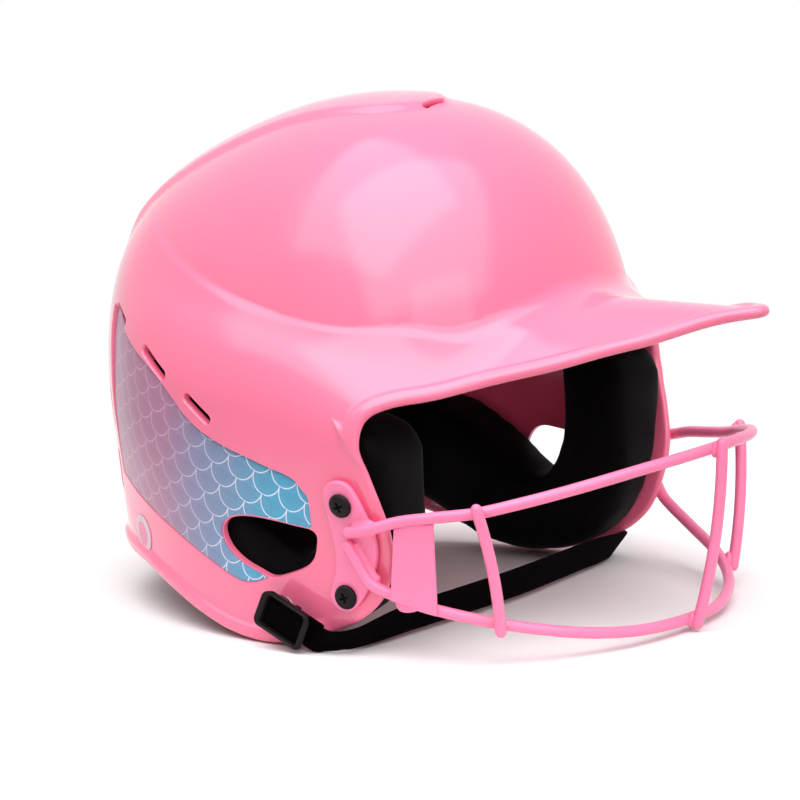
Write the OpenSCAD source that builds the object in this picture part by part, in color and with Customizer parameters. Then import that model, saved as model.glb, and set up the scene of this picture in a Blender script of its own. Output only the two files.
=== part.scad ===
// Softball batting helmet with a bolted wire face guard, foam liner and snap-on chin strap.
// X points to the wearer's left, the front of the helmet looks along -Y and Z is up.
// It stands on its two ear flaps and on the lower end of the guard's centre bar.

/* [Shell] */
// Half width of the skirt over the ears
skirt_half = 112; // [110:0.5:114]
// Half width of the dome above the skirt
dome_half = 101; // [98:0.5:103]
// Height of the dome above the widest line
dome_high = 128; // [124:0.5:132]
// Reach of the dome from its centre to the back
dome_back = 135.5; // [132:0.5:138]
// Thickness of the shell wall
wall = 3.2; // [2.4:0.1:4]
// How far the rolled edge stands proud of the wall
bead = 1.3; // [0.6:0.1:2]
// Rise of the centre band over the dome
band_rise = 2.2; // [0:0.2:3]
// Depth of the decal panel under the skirt
panel_deep = 2; // [1:0.1:2.4]
// Thickness of the decal film
decal_t = 0.5; // [0.3:0.1:0.8]

/* [Guard] */
// Diameter of the guard wire
wire_d = 4.8; // [4:0.1:6]
// Thickness of the mounting plates
plate_t = 3; // [2:0.1:4]
// Clearance between the mounting plates and the shell
plate_gap = 0.3; // [0.2:0.1:0.5]
// Thickness of the flat side blade
blade_t = 1.6; // [1.2:0.1:2.5]
// Diameter of the screw heads
head_d = 9.6; // [8:0.1:12]
// Diameter of the screw shanks
shank_d = 4.8; // [4:0.1:5]

/* [Liner] */
// Clearance between the side foam and the shell
foam_gap = 1.3; // [1:0.1:1.6]
// Clearance between the crown and brow foam and the shell
dome_gap = 2.2; // [2:0.1:2.5]
// Thickness of the cheek pads
cheek_t = 38; // [30:1:40]
// Thickness of the jaw pads
jaw_t = 25; // [18:1:27]
// Thickness of the brow, neck and crown pads
liner_t = 15; // [10:1:18]

/* [Chin strap] */
// Width of the webbing
web_w = 13; // [10:0.5:14]
// Thickness of the webbing
web_t = 1.2; // [1:0.1:1.6]
// Length of the slide buckle
buckle_l = 25.5; // [24:0.5:28]
// Diameter of the snap button
snap_d = 13; // [11:0.5:14]

/* [Hidden] */
eps = 0.01;
centre = [0, -5, 84];
pink = "#f27ba6";
wire_pink = "#f48fb8";
black = "#17171a";
// Knots of the skirt by bearing from the front: height of the valley, slope of the ledge, its radius
valley_z = [[0, 136.5], [12, 133.2], [25, 129.5], [42, 124.4], [55, 128.5], [75, 131.5], [90, 135],
  [110, 142], [132, 153], [150, 163], [180, 168]];
ledge_k = [[0, 0.02], [12, -0.18], [25, -0.4], [42, -0.74], [55, -1], [75, -1.1], [110, -1.2],
  [132, -1.3], [180, -1.6]];
ledge_r = [[0, 100], [25, 94], [42, 92], [75, 95], [110, 96], [132, 101], [150, 106], [180, 111]];
fillet = [[0, 15], [40, 16], [70, 6], [180, 5]];
// Knots of the wall's lean by elevation angle
lean = [[-60, 0.88], [-40, 0.892], [-28, 0.905], [-21, 0.922], [-13, 0.957], [-5, 0.985], [3, 1], [60, 1]];
// Rim from the back centre round the left flap and along the brim to the front centre
rim_half = [[0, 119, 27], [30, 114, 26], [57, 101, 24], [77, 79, 21], [88, 58, 15], [94, 40, 9],
  [98, 22, 3.2], [99.5, 6, 0.6], [100, -8, 0.8], [100, -22, 4.4], [99.5, -38, 9.8], [99.5, -52, 18],
  [99.8, -60.5, 28], [101.5, -65, 41], [104, -65.5, 53], [106.6, -62.5, 66], [108.8, -59, 78],
  [110, -56, 89], [107, -58, 100], [99, -66, 105], [88, -81, 108], [75, -101.3, 114.1], [61, -125.7, 120.6],
  [46, -149.2, 128], [31, -167, 133], [15, -177, 137], [0, -180, 136.6]];
// Ear opening seen from the side, as back and height
ear_port = [[11, 52.5], [17, 50], [20.5, 45], [18, 38.5], [11, 33.5], [3, 30.5], [-4, 28.5],
  [-13, 31], [-21, 34.5], [-25.5, 38.5], [-27.8, 44], [-28.2, 50], [-18, 51.5], [-6, 52.8], [3, 53.2]];
// The opening on the left side ends further forward than the one on the right
port_left = [for (p = ear_port) [p[0] > -5 ? -5 + (p[0] + 5) * 0.5 : p[0], p[1]]];
// Decal panel by bearing: upper and lower edge heights
panel_hi = [[78, 66], [80, 71], [82, 73.5], [87, 75.8], [94, 81.6], [102, 92], [110, 101.5],
  [116, 109], [123, 118], [128, 123], [138, 128], [147, 128]];
panel_lo = [[78, 51.6], [80, 44], [86, 36], [92, 28], [95, 26], [98, 25], [102, 26], [106, 29],
  [115, 36], [122, 41.5], [136, 51], [147, 56]];
// Guard wires from the right plate to the left plate; the first three stations lie on the plate
top_wire = [[-110.8, -50, 55], [-109.3, -60, 57], [-106.8, -73, 59.6], [-102.5, -88, 62], [-96, -104.5, 64.3],
  [-87, -117, 67.3], [-75, -128.5, 70.4], [-59, -138.8, 73.4], [-40, -146.8, 75.8], [-20, -152.4, 77.3],
  [0, -154.2, 77.7], [20, -152.2, 77], [40, -146, 75.2], [58, -136, 72.5], [72, -125, 69.3],
  [83, -113.5, 66], [91.5, -101, 62.5], [99, -86.5, 59.8], [105, -73, 57.5], [109.3, -60, 55.5], [110.8, -50, 54]];
low_wire = [[-109.9, -48.5, 49.2], [-108.3, -51, 43.5], [-107, -53.5, 37.5], [-105.8, -57, 32.3],
  [-104.3, -62, 29.5], [-103, -67.5, 27.7], [-98, -82, 22.8], [-86, -103.7, 17], [-68, -121, 11.8],
  [-48, -132, 8], [-26, -138.6, 5.8], [0, -140.7, 4.9], [25, -138, 4.6], [46, -130, 6], [64, -118.5, 8.8],
  [80, -102.5, 13.2], [93, -81.5, 19.5], [99.5, -68, 24.8], [103, -61, 28], [105.2, -57, 31.4],
  [107, -53.5, 37], [108.3, -51, 43], [109.9, -48.5, 48.4]];
// Bars and blades by their stations along the two wires
bar_ends = [[4, 7.1], [10, 11], [15.8, 14.6]];
blade_ends = [[1.85, 2.95], [4.9, 6.15]];
// Outline of the mounting plate seen from the side, as back and height
plate_edge = [[-38.5, 69], [-40.5, 73], [-44.5, 75], [-50, 74.5], [-54, 70], [-57.5, 61.5], [-60, 53],
  [-60, 46], [-58, 39], [-55.5, 33], [-51.5, 26.5], [-47, 20.8], [-43, 18.2], [-39, 18.2], [-35.8, 20.5],
  [-34.4, 24.2], [-35.8, 29], [-38.5, 36], [-39.5, 44], [-39.5, 52], [-39, 61]];
screw_at = [[-47, 65.3], [-43, 25]];
// Snap stud on the flap, and the way the strap runs down from it
stud_at = [-9.5, 15.4];
web_dir = [-0.91, -0.414];
// The guard and the strap spread with the skirt, and the snap stack stands on the skin at the stud
wide = skirt_half / 112;
stud_x = side_x(stud_at[0], stud_at[1]);
web_x = stud_x + 4.55;
buckle_s = 5.6;
// Free run of the strap from the right flap under the chin to the left flap, and the lean of its upper edge
web_run = [[-104.7, -32.2, 6, 28], [-104, -36, 5.6, 40], [-101.6, -39.6, 5.8, 42], [-97.6, -42.4, 6.2, 36],
  [-91, -44, 6.9, 28], [-81, -45, 7.7, 20], [-66, -45.6, 8.3, 14], [-48, -46.6, 8.5, 12], [-25, -48, 8.6, 10],
  [0, -48.6, 8.6, 10], [25, -48, 8.6, 10], [48, -46.2, 8.5, 12], [66, -44.6, 8.3, 14], [81, -43.6, 7.7, 20],
  [91, -42.2, 6.9, 28], [97.6, -40, 6.2, 36], [101.6, -37.2, 5.8, 42], [104, -34, 5.6, 40], [104.7, -31.6, 6, 28]];

// Blends and curves
function smin(a, b, k) = let (h = max(k - abs(a - b), 0) / k) min(a, b) - h * h * k / 4;
function smax(a, b, k) = -smin(-a, -b, k);
function unit(v) = v / norm(v);
function step(t) = let (u = min(max(t, 0), 1)) u * u * (3 - 2 * u);
function knot(p, t, i = 0) = (i >= len(p) - 2 || t < p[i + 1][0]) ? i : knot(p, t, i + 1);
function grade(p, i) = (i == 0 || i == len(p) - 1) ? 0
  : (p[i + 1][1] - p[i - 1][1]) / (p[i + 1][0] - p[i - 1][0]);
function track(p, t) = let (
    u = min(max(t, p[0][0]), p[len(p) - 1][0]),
    i = knot(p, u),
    h = p[i + 1][0] - p[i][0],
    s = (u - p[i][0]) / h,
    s2 = s * s,
    s3 = s2 * s)
  (2 * s3 - 3 * s2 + 1) * p[i][1] + (s3 - 2 * s2 + s) * h * grade(p, i)
  + (3 * s2 - 2 * s3) * p[i + 1][1] + (s3 - s2) * h * grade(p, i + 1);
function cr(a, b, c, d, t) = 0.5 * (2 * b + (c - a) * t + (2 * a - 5 * b + 4 * c - d) * t * t
  + (3 * b - a - 3 * c + d) * t * t * t);
function ring_curve(p, m) = let (n = len(p))
  [for (i = [0:n - 1], k = [0:m - 1]) cr(p[(i + n - 1) % n], p[i], p[(i + 1) % n], p[(i + 2) % n], k / m)];
function open_curve(p, m) = let (n = len(p))
  concat([for (i = [0:n - 2], k = [0:m - 1])
    cr(p[max(i - 1, 0)], p[i], p[i + 1], p[min(i + 2, n - 1)], k / m)], [p[n - 1]]);
function bearing(d) = atan2(abs(d[0]), -d[1]);
function rise(d) = atan2(d[2], norm([d[0], d[1]]));

// Outer surface of the shell as a distance from the centre along a direction
function plan_r(d, w, f, b, p) =
  pow(pow(abs(d[0]) / w, p) + pow(abs(d[1]) / (d[1] < 0 ? f : b), p), 1 / p);
function dome_r(d) = let (
    q = 2.17 - 0.34 * d[1],
    hor = plan_r(d, dome_half, 89.5, dome_back, 2.1),
    ver = abs(d[2]) / (d[2] > 0 ? dome_high : 260),
    back = max(d[1] / max(norm([d[0], d[1]]), eps), 0),
    swell = 0.1 * back * back * exp(-pow((rise(d) - 30) / 22.5, 2)))
  (1 + swell) / pow(pow(hor, q) + pow(ver, q), 1 / q);
function band_r(p) = let (
    half = 20 + 16 * min(max((p[1] + 20) / 100, 0), 1),
    off = p[1] < 0 ? norm([p[0], p[1] * half / 22]) : abs(p[0]))
  band_rise * step((half - off) / 7 + 0.5) * min(max((p[2] - 140) / 20, 0), 1);
function ledge_d(d) = let (
    a = bearing(d),
    z = track(valley_z, a) - centre[2],
    k = track(ledge_k, a),
    den = d[2] - k * norm([d[0], d[1]]))
  smin(den > 0.03 ? (z - k * track(ledge_r, a)) / den : 900, d[2] > 0.05 ? (z + 1) / d[2] : 900, 4);
function wall_d(d) = min(track(lean, rise(d)) / max(plan_r(d, skirt_half, 222, 125, 2.25), 0.001), 900);
function outer(d) = let (r = dome_r(d), r2 = r + band_r(centre + r * d))
  smax(r2, smin(ledge_d(d), wall_d(d), 14), track(fillet, bearing(d)));
function skin(d) = centre + outer(d) * d;
function normal_at(d) = let (
    e = unit(cross(d, abs(d[2]) > 0.9 ? [0, 1, 0] : [0, 0, 1])),
    f = cross(e, d),
    h = 0.006)
  unit(cross(skin(unit(d + h * f)) - skin(unit(d - h * f)), skin(unit(d + h * e)) - skin(unit(d - h * e))));
// Point of the left side over a given back and height, moved out by off along the normal
function side_x(y, z, x = 105, k = 6) = k == 0 ? x
  : let (v = [x, y, z] - centre, l = norm(v)) side_x(y, z, x + (outer(v / l) - l) * l / v[0], k - 1);
function side_pt(y, z, off) = let (p = [side_x(y, z), y, z]) p + off * normal_at(unit(p - centre));
// Direction of the left side over a bearing and a height
function belt_dir(a, z, r = 110, k = 6) = let (d = unit([r * sin(a), -r * cos(a), z - centre[2]]))
  k == 0 ? d : belt_dir(a, z, outer(d) * norm([d[0], d[1]]), k - 1);

// Closed solid between two grids of points; the first grid is the outer face
module slab(a, b) {
  n = len(a);
  m = len(a[0]);
  pts = concat([for (r = a) each r], [for (r = b) each r]);
  o = n * m;
  function id(i, j) = i * m + j;
  faces = concat(
    [for (i = [0:n - 2], j = [0:m - 2]) each [[id(i, j), id(i, j + 1), id(i + 1, j + 1)],
      [id(i, j), id(i + 1, j + 1), id(i + 1, j)]]],
    [for (i = [0:n - 2], j = [0:m - 2]) each [[o + id(i, j), o + id(i + 1, j + 1), o + id(i, j + 1)],
      [o + id(i, j), o + id(i + 1, j), o + id(i + 1, j + 1)]]],
    [for (j = [0:m - 2]) each [[id(0, j), o + id(0, j), o + id(0, j + 1)], [id(0, j), o + id(0, j + 1), id(0, j + 1)]]],
    [for (j = [0:m - 2]) each [[id(n - 1, j), o + id(n - 1, j + 1), o + id(n - 1, j)],
      [id(n - 1, j), id(n - 1, j + 1), o + id(n - 1, j + 1)]]],
    [for (i = [0:n - 2]) each [[id(i, 0), o + id(i + 1, 0), o + id(i, 0)], [id(i, 0), id(i + 1, 0), o + id(i + 1, 0)]]],
    [for (i = [0:n - 2]) each [[id(i, m - 1), o + id(i, m - 1), o + id(i + 1, m - 1)],
      [id(i, m - 1), o + id(i + 1, m - 1), id(i + 1, m - 1)]]]);
  polyhedron(pts, faces, convexity = 8);
}

// Tube along a path, closed with domed ends
module tube(path, d, sides = 8) {
  n = len(path);
  tan_at = [for (i = [0:n - 1]) unit(path[min(i + 1, n - 1)] - path[max(i - 1, 0)])];
  function ring(p, t, r) = let (u = unit(cross(t, [0, 0.3, 1])), v = cross(t, u))
    [for (k = [0:sides - 1]) p + r * (cos(360 * k / sides) * u + sin(360 * k / sides) * v)];
  rings = concat([ring(path[0] - tan_at[0] * d * 0.3, tan_at[0], d * 0.28)],
    [for (i = [0:n - 1]) ring(path[i], tan_at[i], d / 2)],
    [ring(path[n - 1] + tan_at[n - 1] * d * 0.3, tan_at[n - 1], d * 0.28)]);
  m = len(rings);
  faces = concat([[for (k = [0:sides - 1]) k]],
    [for (i = [0:m - 2], k = [0:sides - 1]) let (a = i * sides + k, b = i * sides + (k + 1) % sides)
      each [[a, a + sides, b], [b, a + sides, b + sides]]],
    [[for (k = [sides - 1:-1:0]) (m - 1) * sides + k]]);
  polyhedron([for (r = rings) each r], faces, convexity = 8);
}

// Flat band: each station holds a centre, a half width vector and a half thickness vector
module ribbon(st) {
  n = len(st);
  pts = [for (s = st) each [s[0] + s[1] + s[2], s[0] - s[1] + s[2], s[0] - s[1] - s[2], s[0] + s[1] - s[2]]];
  faces = concat([[3, 2, 1, 0]],
    [for (i = [0:n - 2], k = [0:3]) let (a = 4 * i + k, b = 4 * i + (k + 1) % 4)
      each [[a, b, a + 4], [b, b + 4, a + 4]]],
    [[4 * n - 4, 4 * n - 3, 4 * n - 2, 4 * n - 1]]);
  polyhedron(pts, faces, convexity = 8);
}

// Child drawn at a point of the left side, its Z axis along the surface normal
module on_side(y, z, off = 0) {
  p = side_pt(y, z, off);
  n = normal_at(unit([side_x(y, z), y, z] - centre));
  translate(p) rotate([0, acos(n[2]), atan2(n[1], n[0])]) children();
}
module side_prism(edge, x0, x1) {
  translate([x0, 0, 0]) rotate([90, 0, 90]) linear_extrude(x1 - x0) polygon(edge);
}
module both() {
  children();
  mirror([1, 0, 0]) children();
}
module at_right() {
  mirror([1, 0, 0]) children();
}

// Shell: a grid from the crown to the rim, outside and inside, joined by the rolled edge
rim_mid = [for (i = [1:len(rim_half) - 2]) rim_half[len(rim_half) - 1 - i]];
rim_ring = concat(rim_half, [for (p = rim_mid) [-p[0], p[1], p[2]]]);
rim_dir = [for (v = ring_curve([for (p = rim_ring) unit(p - centre)], 2)) unit(v)];
crown_dir = [0, cos(50), sin(50)];
function arc(a, b, v) = let (w = acos(a * b)) (sin((1 - v) * w) * a + sin(v * w) * b) / sin(w);
row_v = concat([for (k = [1:13]) k * 0.0725], [0.965, 0.982, 1]);
bead_v = concat([for (k = [1:13]) 0], [0.2, 0.9, 0.8]);
// The rolled edge fades out beside the mounting plates
function bead_at(e) = let (p = skin(e)) bead * (1 - 0.85 * step((-28 - p[1]) / 6) * step((84 - p[2]) / 8));
inner_rows = [0, 2, 4, 6, 8, 10, 12, 15];
module shell_body() {
  n = len(rim_dir);
  m = len(row_v);
  base = [for (v = row_v) [for (e = rim_dir) let (d = unit(arc(crown_dir, e, v))) skin(d)]];
  nrm = [for (v = row_v) [for (e = rim_dir) normal_at(unit(arc(crown_dir, e, min(v, 0.995))))]];
  top = skin(crown_dir);
  topn = normal_at(crown_dir);
  lip = [for (e = rim_dir) bead_at(e)];
  out = [for (j = [0:m - 1]) [for (i = [0:n - 1]) base[j][i] + lip[i] * bead_v[j] * nrm[j][i]]];
  inn = [for (j = inner_rows) [for (i = [0:n - 1]) base[j][i] - wall * nrm[j][i]]];
  q = len(inn);
  o = n * m;
  t = o + n * q;
  pts = concat([for (r = out) each r], [for (r = inn) each r], [top, top - wall * topn]);
  faces = concat(
    [for (i = [0:n - 1]) [t, i, (i + 1) % n]],
    [for (j = [0:m - 2], i = [0:n - 1]) let (k = (i + 1) % n)
      each [[j * n + i, (j + 1) * n + i, (j + 1) * n + k], [j * n + i, (j + 1) * n + k, j * n + k]]],
    [for (i = [0:n - 1]) let (k = (i + 1) % n, a = (m - 1) * n, b = o + (q - 1) * n)
      each [[a + k, a + i, b + i], [a + k, b + i, b + k]]],
    [for (j = [0:q - 2], i = [0:n - 1]) let (k = (i + 1) % n)
      each [[o + j * n + i, o + (j + 1) * n + k, o + (j + 1) * n + i],
        [o + j * n + i, o + j * n + k, o + (j + 1) * n + k]]],
    [for (i = [0:n - 1]) [t + 1, o + (i + 1) % n, o + i]]);
  polyhedron(pts, faces, convexity = 10);
}
// Sheet over the decal panel between two depths under the skin; grow widens its outline
function panel_depth(s) = 0.7 + (panel_deep - 0.7) * step(s);
function panel_pts(grow, lift) = let (na = 17, nv = 4)
  [for (i = [0:na]) let (a = 78 - grow * 0.4 + (69 + grow * 0.8) * i / na,
      hi = track(panel_hi, a) + grow, lo = track(panel_lo, a) - grow)
    [for (j = [0:nv]) let (s = j / nv, d = belt_dir(a, lo + (hi - lo) * s))
      skin(d) + (lift >= 2 ? lift : lift - panel_depth(s)) * normal_at(d)]];
module vent(a, z, tilt, len = 13, r = 1.7) {
  d = belt_dir(a, z);
  n = normal_at(d);
  e = unit(cross([0, 0, 1], n));
  u = cross(n, e);
  w = cos(tilt) * e + sin(tilt) * u;
  hull() for (s = [-1, 1]) translate(skin(d) + s * (len / 2 - r) * w)
    rotate([0, acos(n[2]), atan2(n[1], n[0])]) cylinder(h = 24, r = r, center = true, $fn = 13);
}
vents = [[106, 97.5, 24], [119, 114.5, 26], [141, 129, 12], [151, 56, 90], [152, 82, 90]];
module shell() color(pink) difference() {
  shell_body();
  both() slab(panel_pts(0.4, 4), panel_pts(0.4, 0));
  side_prism(ring_curve(port_left, 2), skirt_half - 52, skirt_half + 18);
  at_right() side_prism(ring_curve(ear_port, 2), skirt_half - 52, skirt_half + 18);
  both() for (v = vents) vent(v[0], v[1], v[2], v[2] == 90 ? 16 : 14);
  both() for (s = screw_at) on_side(s[0], s[1]) cylinder(h = 24, d = shank_d + 0.6, center = true, $fn = 24);
  both() along_x(stud_x - 10) cylinder(h = 20, d = 5.2, $fn = 24);
  hull() for (s = [-1, 1]) translate([s * 9, -24, 190]) cylinder(h = 40, r = 2, $fn = 14);
}

// Decal film on the floor of the panel, and the round label at the lower back
module decal(port) difference() {
  slab(panel_pts(0, decal_t + 0.06), panel_pts(0, 0.06));
  side_prism(ring_curve([for (p = port) [p[0] * 1.05 + 0.2, (p[1] - 41) * 1.05 + 41]], 2),
    skirt_half - 52, skirt_half + 18);
}
module decal_left() color("#8fa4cc") decal(port_left);
module decal_right() color("#8fa4cc") at_right() decal(ear_port);
module sticker() {
  d0 = belt_dir(137, 33);
  n = normal_at(d0);
  e = unit(cross([0, 0, 1], n));
  f = cross(n, e);
  function spot(u, v, lift) = let (d = unit(skin(d0) + 10 * u * e + 10 * v * f - centre))
    skin(d) + lift * normal_at(d);
  intersection() {
    slab([for (i = [-3:3]) [for (j = [-3:3]) spot(i / 3, j / 3, 1)]],
      [for (i = [-3:3]) [for (j = [-3:3]) spot(i / 3, j / 3, 0.7)]]);
    translate(skin(d0)) rotate([0, acos(n[2]), atan2(n[1], n[0])]) cylinder(h = 12, d = 16, center = true, $fn = 48);
  }
}
module safety_sticker() color("white") at_right() sticker();

// Foam: a patch under the skin with thickness t that thins towards its edges
function under(d, deep) = centre + d * (outer(d) - deep / max(normal_at(d) * d, 0.35));
function foam_edge(u, v) = let (e = max(abs(u), abs(v))) 1 - 0.45 * step((e - 0.72) / 0.28);
module foam(dirs, t, gap = foam_gap) {
  n = len(dirs) - 1;
  m = len(dirs[0]) - 1;
  back = wall + gap;
  slab([for (i = [0:n]) [for (j = [0:m]) under(dirs[i][j], back)]],
    [for (i = [0:n]) [for (j = [0:m])
      let (f = foam_edge(2 * i / n - 1, 2 * j / m - 1), p = under(dirs[i][j], back)) p - dirs[i][j] * t * f]]);
}
function tilt_dir(a, e) = [sin(a) * cos(e), -cos(a) * cos(e), sin(e)];
module pad_brow() color(black) foam([for (i = [0:12]) let (a = -52 + 104 * i / 12, c = 1 - pow(abs(i / 6 - 1), 4) * 0.35)
  [for (j = [0:5]) tilt_dir(a, 43 + 11 * c * (j / 2.5 - 1))]], liner_t, dome_gap);
module pad_crown() color(black) foam([for (i = [0:8]) let (u = i / 4 - 1)
  [for (j = [0:8]) let (v = j / 4 - 1, g = 1 - 0.16 * u * u * v * v)
    unit([0.5 * u * g, 0.22 + 0.52 * v * g, 1])]], liner_t, dome_gap);
function neck_top(a) = track([[97, 37], [110, 50], [125, 61], [140, 74], [177, 100]], a);
function neck_low(a) = track([[97, 11], [110, 19], [125, 27], [140, 32], [177, 36]], a);
module pad_neck() foam([for (i = [0:12]) let (a = 97 + 80 * i / 12)
  [for (j = [0:5]) belt_dir(a, neck_low(a) + (neck_top(a) - neck_low(a)) * j / 5)]], liner_t);
module pad_neck_left() color(black) pad_neck();
module pad_neck_right() color(black) at_right() pad_neck();
// Side pad: from the shell's inner face to a flat face at half, over a grid of back and height values
module side_pad(rows, half) {
  n = len(rows) - 1;
  m = len(rows[0]) - 1;
  mid = (rows[0][0] + rows[n][0] + rows[0][m] + rows[n][m]) / 4;
  slab([for (r = rows) [for (p = r) side_pt(p[0], p[1], -wall - foam_gap)]],
    [for (i = [0:n]) [for (j = [0:m])
      let (e = max(abs(2 * i / n - 1), abs(2 * j / m - 1)), p = mid + (rows[i][j] - mid) * 0.86)
      [half + 5 * step((e - 0.6) / 0.4), p[0], p[1]]]]);
}
cheek_front = [[36, -58.5], [44, -61], [54, -61.5], [66, -59], [78, -55.5], [98, -53]];
cheek_rear = [[36, -22], [42, -27], [50, -30.5], [58, -33], [98, -32]];
module pad_cheek() difference() {
  side_pad([for (i = [0:5]) [for (j = [0:7]) let (z = 36.5 + 61 * j / 7, g = j > 6 ? 4 : 0,
      f = track(cheek_front, z) + g, r = track(cheek_rear, z) - g)
    [f + (r - f) * i / 5, z]]], skirt_half - 6 - cheek_t);
  on_side(screw_at[0][0], screw_at[0][1], -wall - 6.5) cylinder(h = 10, d = 15, $fn = 28);
}
jaw_low = [[-51, 27], [-44, 20], [-36, 14], [-22, 8.5], [-8, 4], [9, 4]];
module pad_jaw() difference() {
  side_pad([for (i = [0:6]) [for (j = [0:4]) let (y = -51 + 55 * i / 6, lo = track(jaw_low, y))
    [y, lo + (35.5 - lo) * j / 4]]], skirt_half - 15 - jaw_t);
  on_side(screw_at[1][0], screw_at[1][1], -wall - 6.5) cylinder(h = 10, d = 15, $fn = 28);
  on_side(stud_at[0], stud_at[1], -wall - 4.6) cylinder(h = 8, d = 13, $fn = 28);
}
module pad_jaw_left() color(black) pad_jaw();
module pad_jaw_right() color(black) at_right() pad_jaw();
module pad_cheek_left() color(black) pad_cheek();
module pad_cheek_right() color(black) at_right() pad_cheek();

// Guard: two bent wires, three upright bars and one flat blade welded to them, and two bolted plates
weld = 0.04;
function on_plate(p) = let (q = side_pt(p[1], p[2], plate_t + plate_gap + wire_d / 2 - weld)) [sign(p[0]) * q[0], q[1], q[2]];
function seated(w, n0, n1) = [for (i = [0:len(w) - 1]) (i < n0 || i >= len(w) - n1) ? on_plate(w[i]) : [w[i][0] * wide, w[i][1], w[i][2]]];
top_line = seated(top_wire, 2, 2);
low_line = seated(low_wire, 3, 3);
module guard_wire_top() color(wire_pink) tube(open_curve(top_line, 2), wire_d);
module guard_wire_bottom() color(wire_pink) tube(open_curve(low_line, 2), wire_d);
// Point at a fractional station of a wire, and the outward side there
function along(w, t) = let (i = min(floor(t), len(w) - 2))
  cr(w[max(i - 1, 0)], w[i], w[i + 1], w[min(i + 2, len(w) - 1)], t - i);
function outward(w, t) = let (v = along(w, t + 0.1) - along(w, t - 0.1)) unit([v[1], -v[0], 0]);
module bar(e, bow, low = 2.6) {
  n = unit(outward(top_line, e[0]) + outward(low_line, e[1]));
  p = along(top_line, e[0]) + n * (wire_d - weld);
  q = along(low_line, e[1]) + n * (wire_d - weld);
  w = unit(p - q);
  tube([for (i = [0:8]) let (s = i / 8) p + w * 2.6 + (q - p - w * (2.6 + low)) * s
    + [0, -1, 0] * bow * 4 * s * (1 - s)], wire_d);
}
module guard_bar_right() color(wire_pink) bar(bar_ends[0], 2);
module guard_bar_centre() color(wire_pink) bar(bar_ends[1], 3, 1.6);
module guard_bar_left() color(wire_pink) bar(bar_ends[2], 2);
module blade() {
  function col(k) = let (
      a = along(top_line, blade_ends[0][0] + (blade_ends[0][1] - blade_ends[0][0]) * k),
      b = along(low_line, blade_ends[1][0] + (blade_ends[1][1] - blade_ends[1][0]) * k),
      n = [-0.96, -0.25, 0.1],
      p = a - [0, 0, wire_d / 2] - n * blade_t / 2,
      q = b + n * (wire_d / 2 - weld) - [0, 0, 1.9])
    [for (s = [4:-1:0]) p + (q - p) * s / 4];
  slab([for (k = [0:4]) [for (p = col(k / 4)) p + blade_t * [-0.96, -0.25, 0.1]]], [for (k = [0:4]) col(k / 4)]);
}
module guard_blade() color(wire_pink) blade();
module plate() difference() {
  intersection() {
    slab([for (i = [0:5]) [for (j = [0:8]) side_pt(-62 + 32 * i / 5, 15 + 63 * j / 8, plate_t + plate_gap)]],
      [for (i = [0:5]) [for (j = [0:8]) side_pt(-62 + 32 * i / 5, 15 + 63 * j / 8, plate_gap)]]);
    side_prism(ring_curve(plate_edge, 2), skirt_half - 32, skirt_half + 18);
  }
  for (s = screw_at) on_side(s[0], s[1]) cylinder(h = 24, d = shank_d + 0.6, center = true, $fn = 24);
}
module guard_plate_left() color(wire_pink) plate();
module guard_plate_right() color(wire_pink) at_right() plate();

// Pan head screw with a cross recess, and the flanged nut behind the shell
module screw(k) {
  s = screw_at[k];
  on_side(s[0], s[1], plate_t + plate_gap + 0.25) difference() {
    union() {
      cylinder(h = 1, d = head_d, $fn = 40);
      translate([0, 0, 1]) cylinder(h = 1.2, d1 = head_d, d2 = head_d * 0.66, $fn = 40);
      translate([0, 0, -wall - plate_t - 3.15]) cylinder(h = wall + plate_t + 3.25, d = shank_d, $fn = 32);
    }
    for (a = [0, 90]) rotate([0, 0, a + 20]) translate([0, 0, 1.7]) cube([4.4, 1, 2.2], center = true);
  }
}
module nut(k) {
  s = screw_at[k];
  on_side(s[0], s[1], -wall - 2.7) difference() {
    union() {
      cylinder(h = 1.6, d = 13, $fn = 40);
      translate([0, 0, -1.6]) cylinder(h = 1.7, d = 8, $fn = 32);
    }
    translate([0, 0, -3]) cylinder(h = 6, d = shank_d + 0.1, $fn = 32);
  }
}
module screw_upper_left() color(black) screw(0);
module screw_lower_left() color(black) screw(1);
module screw_upper_right() color(black) at_right() screw(0);
module screw_lower_right() color(black) at_right() screw(1);
module nut_upper_left() color("silver") nut(0);
module nut_lower_left() color("silver") nut(1);
module nut_upper_right() color("silver") at_right() nut(0);
module nut_lower_right() color("silver") at_right() nut(1);

// Snap: a stud riveted through the flap and a cap that clips the webbing over it
module along_x(x) translate([x, stud_at[0], stud_at[1]]) rotate([0, 90, 0]) children();
module snap_stud() {
  along_x(stud_x - wall - 3.6) cylinder(h = 1.4, d = 10, $fn = 36);
  along_x(stud_x - wall - 2.3) cylinder(h = wall + 3.8, d = 4.8, $fn = 32);
  along_x(stud_x + 0.9) cylinder(h = 1.1, d = 12, $fn = 40);
  along_x(stud_x + 1.9) cylinder(h = 3.2, d = 5, $fn = 32);
}
module snap_cap() difference() {
  union() {
    along_x(web_x - 2.15) cylinder(h = 1.4, d = snap_d, $fn = 40);
    along_x(web_x - 0.85) cylinder(h = 1.8, d = 6.6, $fn = 32);
    along_x(web_x + 0.8) cylinder(h = 1, d1 = snap_d, d2 = snap_d - 1.6, $fn = 40);
  }
  along_x(web_x - 2.25) cylinder(h = 3.1, d = 5.2, $fn = 32);
}
module snap_stud_left() color("silver") snap_stud();
module snap_stud_right() color("silver") at_right() snap_stud();
module snap_cap_left() color(black) snap_cap();
module snap_cap_right() color(black) at_right() snap_cap();

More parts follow.
